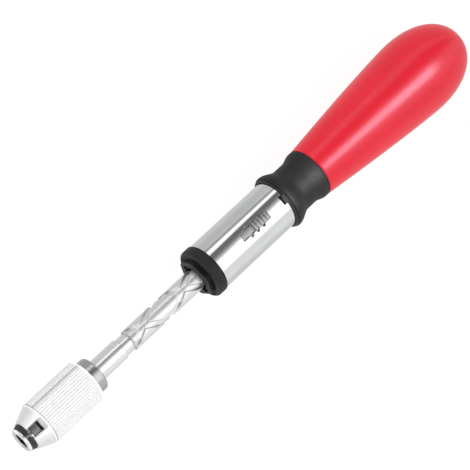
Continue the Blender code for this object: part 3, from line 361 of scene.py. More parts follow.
class Nodes:
    """Adds nodes to one tree, each with its settings first and then its sockets."""

    def __init__(self, tree):
        self.tree = tree

    def add(self, kind, settings=None, sockets=None, output=0):
        node = self.tree.nodes.new(kind)
        for name, value in (settings or {}).items():
            if name == "stops":
                self.set_stops(node.color_ramp, value)
            else:
                setattr(node, name, value)
        for key, value in (sockets or {}).items():
            if isinstance(value, Value):
                self.tree.links.new(value.socket, node.inputs[key])
            else:
                node.inputs[key].default_value = value
        if not node.outputs:
            return None
        return Value(self, node.outputs[output])

    def set_stops(self, ramp, stops):
        while len(ramp.elements) < len(stops):
            ramp.elements.new(1)
        for element, (place, shade) in zip(ramp.elements, stops):
            element.position = place
            element.color = (*shade, 1) if isinstance(shade, tuple) else (shade, shade, shade, 1)

    def place(self, scale=(1, 1, 1)):
        """Object coordinates, stretched by a scale for each axis."""
        here = self.add("ShaderNodeTexCoord", output="Object")
        return self.add("ShaderNodeMapping", {}, {"Vector": here, "Scale": scale})

    def parts(self, vector):
        """The three coordinates of a vector."""
        return [self.add("ShaderNodeSeparateXYZ", {}, {0: vector}, axis) for axis in "XYZ"]

    def near(self, value, middle, width):
        """1 where a value is at the middle, falling to 0 at a width on both sides of it."""
        offset = value - middle
        return 1 - self.spread(offset.math("ABSOLUTE", offset, 0), 0, width)

    def noise(self, where, scale, detail=2, roughness=0.5):
        sockets = {"Vector": where, "Scale": scale, "Detail": detail, "Roughness": roughness}
        return self.add("ShaderNodeTexNoise", {}, sockets, "Fac")

    def spread(self, value, low, high):
        """A value's low to high, stretched to 0 to 1."""
        return self.add(
            "ShaderNodeMapRange", {"clamp": True}, {"Value": value, "From Min": low, "From Max": high}
        )

    def mix(self, share, first, second):
        sockets = {0: share, 6: self.shade(first), 7: self.shade(second)}
        return self.add("ShaderNodeMix", {"data_type": "RGBA"}, sockets, 2)

    def shade(self, value):
        return value if isinstance(value, Value) else (*value, 1)

    def bump(self, height, depth, strength=1.0):
        sockets = {"Strength": strength, "Distance": depth, "Height": height}
        return self.add("ShaderNodeBump", {}, sockets, "Normal")

    def surface(self, **sockets):
        shader = self.add("ShaderNodeBsdfPrincipled", {}, sockets)
        self.add("ShaderNodeOutputMaterial", {}, {"Surface": shader})


def new_finish(name):
    material = bpy.data.materials.new(name)
    material.use_nodes = True
    material.node_tree.nodes.clear()
    return material, Nodes(material.node_tree)


def dimmed(tint, share):
    return tuple(channel * share for channel in tint)


def moulded_red(name, tint):
    """Satin moulded plastic: faint clouds of colour, a fine grain and a soft sheen."""
    material, nodes = new_finish(name)
    where = nodes.place()
    cloud = nodes.noise(where, 45, 3)
    grain = nodes.noise(where, 2600, 2)
    wave = nodes.noise(nodes.place((0.35, 1, 1)), 160, 2)
    nodes.surface(**{
        "Base Color": nodes.mix(nodes.spread(cloud, 0.3, 0.7), dimmed(tint, 0.93), tint),
        "Roughness": 0.23 + cloud * 0.06 + grain * 0.05,
        "Specular IOR Level": 0.52,
        "Specular Tint": (0.82, 0.8, 1, 1),
        "Normal": nodes.bump(grain * 0.12 + wave * 0.5, 0.00006, 0.35),
    })
    return material


def moulded_black(name, tint, rough, depth, gloss=0.33):
    """Black moulded plastic: an eggshell texture with lighter rubbed patches, or smooth and glossy."""
    material, nodes = new_finish(name)
    where = nodes.place()
    cloud = nodes.noise(where, 130, 3)
    grain = nodes.noise(where, 3800, 3)
    nodes.surface(**{
        "Base Color": nodes.mix(nodes.spread(cloud, 0.35, 0.7), tint, dimmed(tint, 1.5)),
        "Roughness": rough * (1 + cloud * 0.2 + grain * 0.2),
        "Specular IOR Level": gloss,
        "Normal": nodes.bump(grain, depth, 0.4),
    })
    return material


def plated(name, tint):
    """Bright plate over a tube that was polished round and round: fine lines and faint smudges."""
    material, nodes = new_finish(name)
    lines = nodes.noise(nodes.place((1, 0.02, 0.02)), 5200, 2)
    smudge = nodes.noise(nodes.place((0.6, 1, 1)), 210, 4, 0.6)
    nodes.surface(**{
        "Base Color": nodes.mix(nodes.spread(smudge, 0.3, 0.75), tint, dimmed(tint, 0.95)),
        "Metallic": 1.0,
        "Roughness": 0.07 + nodes.spread(smudge, 0.4, 0.8) * 0.05 + lines * 0.03,
        "Normal": nodes.bump(lines, 0.000003, 0.25),
    })
    return material


def turned_metal(name, tint, rough, line_scale, line_depth, contrast):
    """Lathe-turned metal: rings round the axis, of uneven width and brightness."""
    material, nodes = new_finish(name)
    rings = nodes.noise(nodes.place((1, 0.012, 0.012)), line_scale, 3, 0.6)
    cloud = nodes.noise(nodes.place(), 240, 3)
    nodes.surface(**{
        "Base Color": nodes.mix(
            nodes.spread(rings * 0.6 + cloud * 0.4, 0.3, 0.7), dimmed(tint, 1 - contrast), tint
        ),
        "Metallic": 1.0,
        "Roughness": rough + cloud * 0.08 + rings * 0.06,
        "Normal": nodes.bump(rings, line_depth, 0.5),
    })
    return material


def drawn_streaks(nodes, tint, contrast):
    """Long streaks on the axis, a few small stains, and a tint that both have dulled."""
    streaks = nodes.noise(nodes.place((0.03, 1, 1)), 2400, 3, 0.6)
    stains = nodes.noise(nodes.place((0.5, 1, 1)), 260, 4, 0.6)
    share = nodes.spread(streaks * 0.5 + stains * 0.5, 0.3, 0.7)
    return streaks, stains, nodes.mix(share, dimmed(tint, 1 - contrast), tint)


def spiral_steel(name, tint, sizes):
    """Polished steel, rougher in the grooves, with painted shade: darker on the walls of the grooves and in
    the corners of the lock neck.
    """
    material, nodes = new_finish(name)
    neck = along("chuck_collar")[1] + sizes.shank_length
    spiral = neck + sizes.neck_length
    x, y, z = nodes.parts(nodes.add("ShaderNodeTexCoord", output="Object"))
    middle = sizes.radius - 0.45 * sizes.groove_depth
    # Painted shade on the walls of the grooves.
    wall = nodes.near((y * y + z * z) ** 0.5, middle, 0.5 * sizes.groove_depth)
    grooved = nodes.spread(x, spiral - 0.1 * MM, spiral)
    # Painted shade in the corners at both ends of the lock neck.
    corners = nodes.near(x, spiral - 0.2 * MM, 0.7 * MM) * 0.55 + nodes.near(x, neck, 0.4 * MM) * 0.18
    streaks, stains, bright = drawn_streaks(nodes, tint, 0.06)
    nodes.surface(**{
        "Base Color": nodes.mix(grooved * wall * 0.5 + corners, bright, dimmed(tint, 0.12)),
        "Metallic": 0.8,
        "Roughness": 0.15 + grooved * 0.13 + stains * 0.07 + streaks * 0.05,
        "Normal": nodes.bump(streaks, 0.000008, 0.4),
    })
    return material


def drawn_metal(name, tint, rough, contrast, metallic=1.0, ribs=None):
    """Drawn or milled metal, with painted shade in the valleys between ribs whose foot and flank heights are
    given.
    """
    material, nodes = new_finish(name)
    streaks, stains, worn_and_shaded = drawn_streaks(nodes, tint, contrast)
    if ribs:
        foot, flank = ribs
        height = nodes.parts(nodes.add("ShaderNodeTexCoord", output="Object"))[2]
        # Painted shade on the plate between the ribs.
        plate = nodes.spread(height, foot - 0.9 * MM, foot - 0.5 * MM)
        valley_shade = plate * (1 - nodes.spread(height, foot, flank))
        worn_and_shaded = nodes.mix(valley_shade * 0.45, worn_and_shaded, dimmed(tint, 0.15))
    nodes.surface(**{
        "Base Color": worn_and_shaded,
        "Metallic": metallic,
        "Roughness": rough + stains * 0.07 + streaks * 0.05,
        "Normal": nodes.bump(streaks, 0.000008, 0.4),
    })
    return material


def satin_aluminium(name, tint, sizes):
    """Satin aluminium: pale, with painted shade between the ribs, on the shoulder line, along one flank and
    on the cone's sides, and a painted dark reflection on one side.
    """
    material, nodes = new_finish(name)
    shoulder = along("chuck_sleeve")[0] + sizes.cone_length
    base = reach("chuck_sleeve") - sizes.rib_height
    x, y, z = nodes.parts(nodes.add("ShaderNodeTexCoord", output="Object"))
    turn = y.math("ARCTAN2", y, z)
    # Painted shade between the ribs, on the upper side only.
    valley_shade = 1 - nodes.spread((y * y + z * z) ** 0.5, base, base + 0.6 * sizes.rib_height)
    valley_shade = valley_shade * nodes.near(turn, 0, 1.2)
    # A painted dark reflection along one side of the ribbed band, with a softer, wider painted reflection
    # beside it.
    dark_reflection = nodes.near(turn, REFLECTION_TURN, REFLECTION_WIDTH) * 0.42
    reflection_halo = nodes.near(turn, REFLECTION_TURN - REFLECTION_WIDTH, 2.2 * REFLECTION_WIDTH) * 0.2
    # Painted shade along one flank of the ribbed band.
    flank = nodes.near(turn, SHADED_FLANK_TURN, 3 * REFLECTION_WIDTH) * 0.1
    grip = nodes.spread(x, shoulder + 0.3 * MM, shoulder + 1.3 * MM)
    # Painted shade in the line at the foot of the ribs, behind the shoulder.
    line = nodes.near(x, shoulder + 0.8 * sizes.plain_front, 0.45 * MM)
    cone = 1 - nodes.spread(x, shoulder - 0.4 * MM, shoulder)
    # Painted shade on both sides of the cone, and over the whole cone except its top.
    sides = nodes.near(turn, 1.0, 0.7) * 0.28 + nodes.near(turn, -1.0, 0.7) * 0.22
    ribbed = grip * (valley_shade * 0.28 + dark_reflection + reflection_halo + flank)
    coned = cone * (sides + 0.16 - 0.16 * nodes.near(turn, 0, 0.6))
    streaks = nodes.noise(nodes.place((0.012, 1, 1)), 900, 3, 0.6)
    grain = nodes.noise(nodes.place((0.1, 1, 1)), 2600, 2)
    pale = nodes.mix(nodes.spread(streaks, 0.3, 0.62), dimmed(tint, 0.97), tint)
    nodes.surface(**{
        # The masks above mix painted shade or a painted dark reflection into the pale tint.
        "Base Color": nodes.mix(ribbed + line * 0.9 + coned, pale, dimmed(tint, 0.12)),
        "Metallic": 0.15,
        "Roughness": 0.3 + streaks * 0.1 + grain * 0.05,
        "Normal": nodes.bump(grain, 0.000006, 0.3),
    })
    return material


def cast_metal(name, tint):
    """Die-cast alloy: a dull, slightly pitted skin."""
    material, nodes = new_finish(name)
    skin = nodes.noise(nodes.place(), 900, 4, 0.6)
    cloud = nodes.noise(nodes.place(), 150, 3)
    nodes.surface(**{
        "Base Color": nodes.mix(nodes.spread(cloud, 0.3, 0.7), dimmed(tint, 0.85), tint),
        "Metallic": 1.0,
        "Roughness": 0.42 + skin * 0.15,
        "Normal": nodes.bump(skin, 0.00004, 0.5),
    })
    return material


def finish_table(settings):
    """How each finish is made: its maker, the material's name, its tint and the rest that the maker takes."""
    tints = settings.colours
    black = tints.black
    rib_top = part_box("selector_button")[1].z
    rib_height = settings.casing.rib_height
    ribs = (rib_top - rib_height, rib_top - 0.4 * rib_height)
    eggshell = {"rough": 0.46, "depth": 0.00004}
    glossy = {"rough": 0.33, "depth": 0.000003, "gloss": 0.18}
    lathed = {"rough": 0.2, "line_scale": 2600, "line_depth": 0.00001, "contrast": 0.18}
    bearing = {"rough": 0.25, "line_scale": 2400, "line_depth": 0.00001, "contrast": 0.15}
    polished = {"rough": 0.16, "contrast": 0.06, "metallic": 0.8}
    pressed = {"rough": 0.3, "contrast": 0.12, "metallic": 0.8, "ribs": ribs}
    return {
        "red_plastic": (moulded_red, "red_grip_moulding", tints.red, {}),
        "black_plastic": (moulded_black, "black_moulding", black, eggshell),
        "ring_black": (moulded_black, "ring_moulding", dimmed(black, 1.5), {"rough": 0.5, "depth": 0.00004}),
        # Darker glossy black: the neck's key, and painted shade in the lock ring's hollow and on its boss's
        # sides.
        "gloss_black": (moulded_black, "gloss_black_moulding", dimmed(black, 0.5), glossy),
        # Lighter black: the snap ring's own grey, and a painted highlight on the lock ring boss's front.
        "rubbed_black": (moulded_black, "rubbed_black_moulding", dimmed(black, 4), eggshell),
        "chrome": (plated, "bright_plate", tints.chrome, {}),
        "knurled_aluminium": (
            satin_aluminium, "ribbed_aluminium", tints.aluminium, {"sizes": settings.chuck}
        ),
        "bright_steel": (drawn_metal, "polished_steel", tints.bright_steel, polished),
        "spiral": (spiral_steel, "spiral_steel", tints.bright_steel, {"sizes": settings.spindle}),
        "steel": (turned_metal, "turned_steel", tints.steel, lathed),
        "dark_steel": (drawn_metal, "hardened_steel", tints.dark_steel, {"rough": 0.28, "contrast": 0.3}),
        "bronze": (turned_metal, "bearing_bronze", tints.bronze, bearing),
        "zinc": (cast_metal, "cast_alloy", tints.zinc, {}),
        "selector": (drawn_metal, "pressed_steel", tints.selector, pressed),
        # The latch's finish also paints shade onto the key in the snap ring's mouth.
        "latch": (drawn_metal, "latch_steel", tints.latch, {"rough": 0.3, "contrast": 0.3}),
        # The socket's finish is painted shade, near black inside the bit socket.
        "socket": (
            drawn_metal, "socket_steel", tints.socket, {"rough": 0.5, "contrast": 0.3, "metallic": 0.5}
        ),
    }


FINISHES = {}


def finish(slot):
    """The material of a finish slot, made when it is first asked for."""
    if slot not in FINISHES:
        maker, name, tint, rest = finish_table(bpy.context.scene.screwdriver)[slot]
        FINISHES[slot] = maker(name, tuple(tint), **rest)
    return FINISHES[slot]


def slot_of(node):
    """Finish slot that the record gives a CAD node."""
    for row in frame["record"]["subparts"]:
        if row["node"] == node:
            return row["material_slot"]
    raise RuntimeError(f"no finish slot for {node}")


def body_of(node):
    """Body that carries a CAD node."""
    for body, members in frame["record"]["behaviour"]["bodies"].items():
        if node in members:
            return body
    raise RuntimeError(f"no body for {node}")


def joint_row(name):
    """The frame's row of a joint."""
    return next(row for row in frame["joints"] if row["name"] == name)


def arc(centre, radius, start, end, steps=ARC_STEPS):
    """Points of an arc, with 0 degrees along +X and 90 degrees outwards."""
    points = []
    for i in range(steps + 1):
        turn = math.radians(start + (end - start) * i / steps)
        points.append((centre[0] + radius * math.cos(turn), centre[1] + radius * math.sin(turn)))
    return points


def eased(start, end, steps=2 * ARC_STEPS):
    """Points that leave one place and reach another along the axis, without the first."""
    points = []
    for i in range(1, steps + 1):
        share = (1 - math.cos(math.pi * i / steps)) / 2
        points.append((start[0] + (end[0] - start[0]) * i / steps, start[1] + (end[1] - start[1]) * share))
    return points


def new_piece(name, shape):
    """Object at the origin from a finished bmesh."""
    bmesh.ops.recalc_face_normals(shape, faces=shape.faces)
    mesh = bpy.data.meshes.new(name)
    shape.to_mesh(mesh)
    shape.free()
    piece = bpy.data.objects.new(name, mesh)
    bpy.context.scene.collection.objects.link(piece)
    return piece


def bridge(shape, first, second):
    """Faces between two rings of points; a ring of one point is a pole."""
    total = max(len(first), len(second))
    for i in range(total):
        j = (i + 1) % total
        if len(first) == 1:
            shape.faces.new((first[0], second[j], second[i]))
        elif len(second) == 1:
            shape.faces.new((first[i], first[j], second[0]))
        else:
            shape.faces.new((first[i], first[j], second[j], second[i]))


def ring(shape, x, radii):
    """Points round the axis, each at its own radius."""
    spots = []
    for i, radius in enumerate(radii):
        turn = math.tau * i / len(radii)
        spots.append(shape.verts.new((x, radius * math.cos(turn), radius * math.sin(turn))))
    return spots


def turned(name, outline, segments=ROUND):
    """Outline of places and radii, swept about the axis: from axis to axis, or round and closed."""
    shape = bmesh.new()
    rings = []
    for x, radius in outline:
        if radius < POLE:
            rings.append([shape.verts.new((x, 0, 0))])
        else:
            rings.append(ring(shape, x, [radius] * segments))
    for first, second in zip(rings, rings[1:]):
        bridge(shape, first, second)
    if len(rings[0]) > 1:
        bridge(shape, rings[-1], rings[0])
    return new_piece(name, shape)


def oblong(low, high, half):
    """Corners of a rectangle from low to high, with half its width on each side."""
    return [(low, -half), (high, -half), (high, half), (low, half)]


def prism(name, outline, low, high, across):
    """Flat outline pushed from low to high; across turns a point and a height into a place."""
    shape = bmesh.new()
    ends = []
    for height in (low, high):
        ends.append([shape.verts.new(across(point, height)) for point in outline])
    bridge(shape, *ends)
    for end in ends:
        shape.faces.new(end)
    return new_piece(name, shape)


def upward(point, height):
    return (point[0], point[1], height)


def sideways(point, height):
    return (point[0], height, point[1])


def forward(point, height):
    return (height, point[0], point[1])


def settle(piece):
    """Makes what the modifiers give the piece's own mesh."""
    graph = bpy.context.evaluated_depsgraph_get()
    mesh = bpy.data.meshes.new_from_object(piece.evaluated_get(graph))
    old = piece.data
    piece.modifiers.clear()
    piece.data = mesh
    mesh.name = piece.name
    bpy.data.meshes.remove(old)


def new_tree(name, inputs):
    """Nodes of an empty geometry tree, and the values of its named inputs."""
    tree = bpy.data.node_groups.new(name, "GeometryNodeTree")
    tree.interface.new_socket("Geometry", in_out="OUTPUT", socket_type="NodeSocketGeometry")
    for label, kind in inputs.items():
        tree.interface.new_socket(label, in_out="INPUT", socket_type=kind)
    nodes = Nodes(tree)
    return nodes, {label: nodes.add("NodeGroupInput", output=label) for label in inputs}


def close_tree(nodes, shape, material):
    """Ends a geometry tree in a plain mesh with its finish."""
    shape = nodes.add("GeometryNodeRealizeInstances", {}, {"Geometry": shape})
    shape = nodes.add("GeometryNodeSetMaterial", {}, {"Geometry": shape, "Material": material})
    nodes.add("NodeGroupOutput", {}, {0: shape})
    return nodes.tree


def grown(name, tree, values):
    """Object with the mesh that a geometry tree makes from the values of its inputs."""
    piece = bpy.data.objects.new(name, bpy.data.meshes.new(name))
    bpy.context.scene.collection.objects.link(piece)
    modifier = piece.modifiers.new("grow", "NODES")
    modifier.node_group = tree
    for item in tree.interface.items_tree:
        if item.name in values:
            modifier[item.identifier] = values[item.name]
    settle(piece)
    return piece


def combine(piece, operation, *tools):
    """Cuts tools out of a piece, or joins them to it, and deletes them."""
    for tool in tools:
        modifier = piece.modifiers.new("combine", "BOOLEAN")
        modifier.operation = operation
        modifier.solver = "EXACT"
        modifier.object = tool
    settle(piece)
    for tool in tools:
        bpy.data.objects.remove(tool)


def soften(piece, width, steps=2, corner=35):
    """Rounds the edges that are sharper than a corner angle."""
    modifier = piece.modifiers.new("soften", "BEVEL")
    modifier.width = width
    modifier.segments = steps
    modifier.limit_method = "ANGLE"
    modifier.angle_limit = math.radians(corner)
    modifier.use_clamp_overlap = True
    settle(piece)


def smooth(piece, corner=32):
    piece.data.shade_smooth()
    piece.data.set_sharp_from_angle(angle=math.radians(corner))


def seat(piece, node, *materials):
    """Gives a piece its finish and its body, and hides the CAD node that it stands for."""
    slot = slot_of(node)
    piece.data.materials.clear()
    for material in materials or [finish(slot)]:
        piece.data.materials.append(material)
    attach(piece, body_of(node))
    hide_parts(node)


def dressed(name, node, edge, *materials):
    """Copy of a small CAD node with its facets merged and its edges rounded."""
    shape = bmesh.new()
    shape.from_mesh(frame["nodes"][node].data)
    bmesh.ops.remove_doubles(shape, verts=shape.verts, dist=0.002 * MM)
    bmesh.ops.dissolve_limit(
        shape, angle_limit=math.radians(1), verts=shape.verts, edges=shape.edges, delimit={"NORMAL"}
    )
    piece = new_piece(name, shape)
    soften(piece, edge)
    smooth(piece)
    seat(piece, node, *materials)
    return piece


class SCREWDRIVER_OT_grip(bpy.types.Operator):
    """Make the red grip, turned smooth with a rounded end and a bore for the spring tube"""

    bl_idname = "screwdriver.grip"
    bl_label = "Grip"

    def execute(self, context):
        sizes = context.scene.screwdriver.handle
        front, rear = along("handle_grip")
        narrow = sizes.front_diameter / 2
        wide = sizes.widest_diameter / 2
        bore = reach("spring_tube") + SEAT_GAP
        floor = along("spring_seat")[1] + 2 * SEAT_GAP
        step = along("ratchet_body")[1] + 2 * SEAT_GAP
        spigot = sizes.spigot_bore
        outline = [(floor, 0), (floor, bore), (step, bore), (step, spigot), (front, spigot)]
        edge = sizes.edge
        outline += arc((front + edge, narrow - edge), edge, 180, 100, 4)
        steps = 60
        for i in range(1, steps + 1):
            share = i / steps
            swell = 1 - (1 - share) ** sizes.taper_power
            outline.append((front + sizes.taper_length * share, narrow + (wide - narrow) * swell))
        end = rear - front - sizes.taper_length
        power = 2 / sizes.end_power
        for i in range(1, steps + 1):
            turn = math.pi / 2 * i / steps
            radius = wide * max(math.cos(turn), 0) ** power if i < steps else 0
            outline.append((front + sizes.taper_length + end * math.sin(turn) ** power, radius))
        piece = turned("grip_moulding", outline)
        smooth(piece)
        seat(piece, "handle_grip")
        return {"FINISHED"}


class SCREWDRIVER_OT_neck(bpy.types.Operator):
    """Make the black neck collar with its beaded rim, waist and key"""

    bl_idname = "screwdriver.neck"
    bl_label = "Neck collar"

    def execute(self, context):
        sizes = context.scene.screwdriver.handle
        casing = context.scene.screwdriver.casing
        rear = along("neck_collar")[1]
        front = rear - sizes.neck_length
        lip = sizes.lip_diameter / 2
        waist = sizes.waist_diameter / 2
        root = reach("casing") + SEAT_GAP
        bead = sizes.lip_bead
        grip = sizes.front_diameter / 2
        stop = front + sizes.lap + 2 * SEAT_GAP
        outline = [(stop, root), (front, root)]
        low = lip - 0.55 * bead
        outline += arc((front + bead / 2, low - bead / 2), bead / 2, 180, 35)
        outline += arc((front + 1.75 * bead, lip - bead), bead, 140, 90)
        outline += eased((front + 1.75 * bead, lip), (front + sizes.waist_from, waist))
        outline.append((front + sizes.waist_to, waist))
        outline += eased((front + sizes.waist_to, waist), (rear - sizes.land, grip))
        outline += arc((rear - sizes.edge, grip - sizes.edge), sizes.edge, 90, 0, 4)
        outline += [(rear, sizes.spigot_bore), (stop, sizes.spigot_bore)]
        piece = turned("neck_moulding", outline)
        corners = oblong(front - casing.key_length, front + 0.6 * sizes.lap, casing.key_width / 2)
        key = prism("neck_key", corners, root - casing.wall, root + KEY_RISE, upward)
        soften(key, MOULD_EDGE, 3)
        combine(piece, "UNION", key)
        smooth(piece)
        seat(piece, "neck_collar", finish("black_plastic"), finish("gloss_black"))
        for face in piece.data.polygons:
            if face.center.x < front - SEAT_GAP:
                face.material_index = 1
        return {"FINISHED"}


class SCREWDRIVER_OT_casing(bpy.types.Operator):
    """Make the chromed casing with its scalloped selector slot and key notch"""

    bl_idname = "screwdriver.casing"
    bl_label = "Casing"

    def execute(self, context):
        sizes = context.scene.screwdriver.casing
        front, rear = along("casing")
        radius = reach("casing")
        bore = radius - sizes.wall
        edge = sizes.edge
        outline = [(front, bore)] + arc((front + edge, radius - edge), edge, 180, 90, 4)
        outline += arc((rear - edge, radius - edge), edge, 90, 0, 4) + [(rear, bore)]
        piece = turned("casing_tube", outline, 2 * ROUND)
        combine(piece, "DIFFERENCE", self.slot_cutter(sizes, radius), self.key_cutter(sizes, rear, radius))
        smooth(piece, 40)
        self.true_normals(piece.data, sizes, radius)
        seat(piece, "casing")
        return {"FINISHED"}

    def slot_cutter(self, sizes, radius):
        """Slot with rounded corners and three scallops on each side."""
        middle = joint_row("rocker_tilt")["pos_m"][0]
        corner = MOULD_EDGE
        scallop = sizes.scallop / 2
        side = sizes.slot_width / 2
        end_in = sizes.slot_length / 2 - corner
        side_in = side - corner
        outline = arc((end_in, side_in), corner, 0, 90, 4)
        for place in (1, 0, -1):
            outline += arc((place * sizes.scallop_pitch, side), scallop, 0, 180, 12)
        outline += arc((-end_in, side_in), corner, 90, 180, 4)
        outline += arc((-end_in, -side_in), corner, 180, 270, 4)
        for place in (-1, 0, 1):
            outline += arc((place * sizes.scallop_pitch, -side), scallop, 180, 360, 12)
        outline += arc((end_in, -side_in), corner, 270, 360, 4)
        outline = [(middle + x, y) for x, y in outline]
        return prism("slot_cutter", outline, radius / 2, 2 * radius, upward)

    def key_cutter(self, sizes, rear, radius):
        front = along("neck_collar")[0] - 2 * SEAT_GAP
        corners = oblong(front, rear + radius, sizes.key_width / 2 + SEAT_GAP)
        return prism("key_cutter", corners, radius / 2, 2 * radius, upward)

    def true_normals(self, mesh, sizes, radius):
        """Points the outside's normals straight out, and bends them beside the slot, which dents the tube."""
        front, rear = along("casing")
        normals = [(0, 0, 0)] * len(mesh.loops)
        for face in mesh.polygons:
            spots = [mesh.vertices[i].co for i in face.vertices]
            if min(math.hypot(spot.y, spot.z) for spot in spots) < radius - 0.004 * MM:
                continue
            for loop, spot in zip(face.loop_indices, spots):
                turn = math.atan2(spot.y, spot.z)
                inner = min(max(1 + turn / sizes.dent_fade, 0), 1)
                outer = min(max((sizes.dent_end - turn) / sizes.dent_edge, 0), 1)
                turn -= sizes.dent * inner * outer * (spot.x - front) / (rear - front)
                normals[loop] = (0, math.sin(turn), math.cos(turn))
        mesh.normals_split_custom_set(normals)


class SCREWDRIVER_OT_lock_ring(bpy.types.Operator):
    """Make the black lock ring: a rounded flange with a hexagonal boss and a notched mouth"""

    bl_idname = "screwdriver.lock_ring"
    bl_label = "Lock ring"

    def execute(self, context):
        sizes = context.scene.screwdriver.ring
        front, rear = along("lock_ring")
        flange = front + sizes.boss_length
        back = flange + sizes.flange_length
        outer = reach("lock_ring")
        spigot = reach("ratchet_body")
        bevel = sizes.flange_round
        edge = MOULD_EDGE
        hollow = (sizes.groove_inner + sizes.groove_outer) / 2
        outline = [(flange, 0), (flange, sizes.groove_inner)]
        outline += arc((flange, hollow), (sizes.groove_outer - sizes.groove_inner) / 2, -90, 90, 8)
        outline += arc((flange + bevel, outer - bevel), bevel, 180, 90, 12)
        outline += arc((back - edge, outer - edge), edge, 90, 0, 4)
        outline += [(back, spigot), (rear, spigot), (rear, 0)]
        piece = turned("lock_ring_moulding", outline)
        boss = prism("lock_ring_boss", self.boss_outline(sizes), front, flange + bevel, forward)
        soften(boss, BOSS_EDGE, 3, 15)
        combine(piece, "UNION", boss)
        wall = front + sizes.boss_wall
        cavity = front + sizes.cavity_from
        lip = rear - sizes.lip_length
        bore = turned("bore_cutter", [
            (front - MM, 0), (front - MM, sizes.mouth), (wall, sizes.mouth), (wall, sizes.pocket),
            (cavity, sizes.pocket), (cavity, sizes.cavity), (lip, sizes.cavity), (lip, sizes.lip_bore),
            (rear + MM, sizes.lip_bore), (rear + MM, 0),
        ])
        depth = sizes.mouth + sizes.notch_depth
        corners = oblong(-depth, depth, sizes.notch_width / 2)
        notch = prism("notch_cutter", corners, front - MM, flange, forward)
        combine(piece, "DIFFERENCE", bore, notch)
        smooth(piece, 40)
        seat(piece, "lock_ring", finish("ring_black"), finish("gloss_black"), finish("rubbed_black"))
        self.finish_boss(piece.data, sizes, front + edge)
        return {"FINISHED"}

    def finish_boss(self, mesh, sizes, front):
        """Gives the hollow and the boss's sides a smooth, darker finish that is painted shade, and the boss's
        front a lighter one that is a painted highlight.
        """
        for face in mesh.polygons:
            away = math.hypot(face.center.y, face.center.z)
            if not sizes.mouth < away < sizes.groove_outer:
                continue
            # Painted highlight: the boss's front, which faces the light, gets the lighter black.
            if face.normal.x < -0.3 and face.center.x < front:
                face.material_index = 2
            # Painted shade: the hollow and the boss's sides get the darker glossy black.
            elif face.normal.x > -0.3 and away > sizes.pocket:
                face.material_index = 1

    def boss_outline(self, sizes):
        """Hexagon whose corners are cut off by a circle."""
        flats = sizes.boss_flats / 2
        corner = sizes.boss_corners / 2
        spread = math.acos(flats / corner)
        outline = []
        for i in range(6):
            middle = sizes.boss_turn + i * math.pi / 3
            for side in (-spread, spread):
                outline.append((corner * math.cos(middle + side), corner * math.sin(middle + side)))
        return outline


class SCREWDRIVER_OT_spindle(bpy.types.Operator):
    """Make the spindle with its crossed spiral grooves"""

    bl_idname = "screwdriver.spindle"
    bl_label = "Spiral spindle"

    segments = 128

    def execute(self, context):
        sizes = context.scene.screwdriver.spindle
        front, rear = along("spiral_spindle")
        collar = along("chuck_collar")
        shank = collar[0] - 2 * SEAT_GAP
        neck = collar[1] + sizes.shank_length
        spiral = neck + sizes.neck_length
        step = sizes.lead / self.segments
        shoulder = rear - sizes.journal_length
        total = int((shoulder - sizes.plain_rear - spiral) / step)
        edge = sizes.edge
        rows = [
            (front, sizes.tang_radius), (shank, sizes.tang_radius),
            (shank, sizes.shank_radius - SHANK_BEVEL), (shank + SHANK_BEVEL, sizes.shank_radius),
            (neck - edge, sizes.shank_radius), (neck, sizes.neck_radius), (spiral - edge, sizes.neck_radius),
        ]
        shape = bmesh.new()
        rings = [[shape.verts.new((front, 0, 0))]]
        rings += [ring(shape, x, [radius] * self.segments) for x, radius in rows]
        for i in range(total + 1):
            x = spiral + i * step
            radii = [self.groove(sizes, x - spiral, k) for k in range(self.segments)]
            if i == 0:
                radii = [min(radius, sizes.radius - SPIRAL_BEVEL) for radius in radii]
            rings.append(ring(shape, x, radii))
        hole = rear - sizes.screw_depth
        rows = [
            (spiral + (total + 1) * step, sizes.radius), (shoulder, sizes.radius),
            (shoulder, sizes.journal_radius), (rear, sizes.journal_radius),
            (rear, sizes.screw_radius), (hole, sizes.screw_radius),
        ]
        rings += [ring(shape, x, [radius] * self.segments) for x, radius in rows]
        rings.append([shape.verts.new((hole, 0, 0))])
        for first, second in zip(rings, rings[1:]):
            self.join(shape, first, second)
        piece = new_piece("spiral_rod", shape)
        smooth(piece, 38)
        seat(piece, "spiral_spindle", finish("spiral"))
        return {"FINISHED"}

    def groove(self, sizes, place, index):
        """Radius at a place along the spiral: two grooves of each hand, with sloped sides."""
        pitch = sizes.lead / 2
        around = (math.tau * index / self.segments - sizes.turn) / math.tau * sizes.lead
        near = pitch
        for hand in (1, -1):
            offset = (around - hand * (place + sizes.phase) + pitch / 2) % pitch - pitch / 2
            near = min(near, abs(offset))
        floor = sizes.groove_floor / 2
        side = min(max((near - floor) / (sizes.groove_width / 2 - floor), 0), 1)
        side = side * side * (3 - 2 * side)
        return sizes.radius - sizes.groove_depth * (1 - side)

    def join(self, shape, first, second):
        """Faces between two rings, split along the diagonal that a groove's edge follows."""
        if len(first) == 1 or len(second) == 1:
            bridge(shape, first, second)
            return
        for i in range(self.segments):
            j = (i + 1) % self.segments
            near = [math.hypot(spot.co.y, spot.co.z) for spot in (first[i], first[j], second[j], second[i])]
            if max(near) - min(near) < POLE:
                shape.faces.new((first[i], first[j], second[j], second[i]))
            elif abs(near[0] - near[2]) <= abs(near[1] - near[3]):
                shape.faces.new((first[i], first[j], second[j]))
                shape.faces.new((first[i], second[j], second[i]))
            else:
                shape.faces.new((first[i], first[j], second[i]))
                shape.faces.new((first[j], second[j], second[i]))


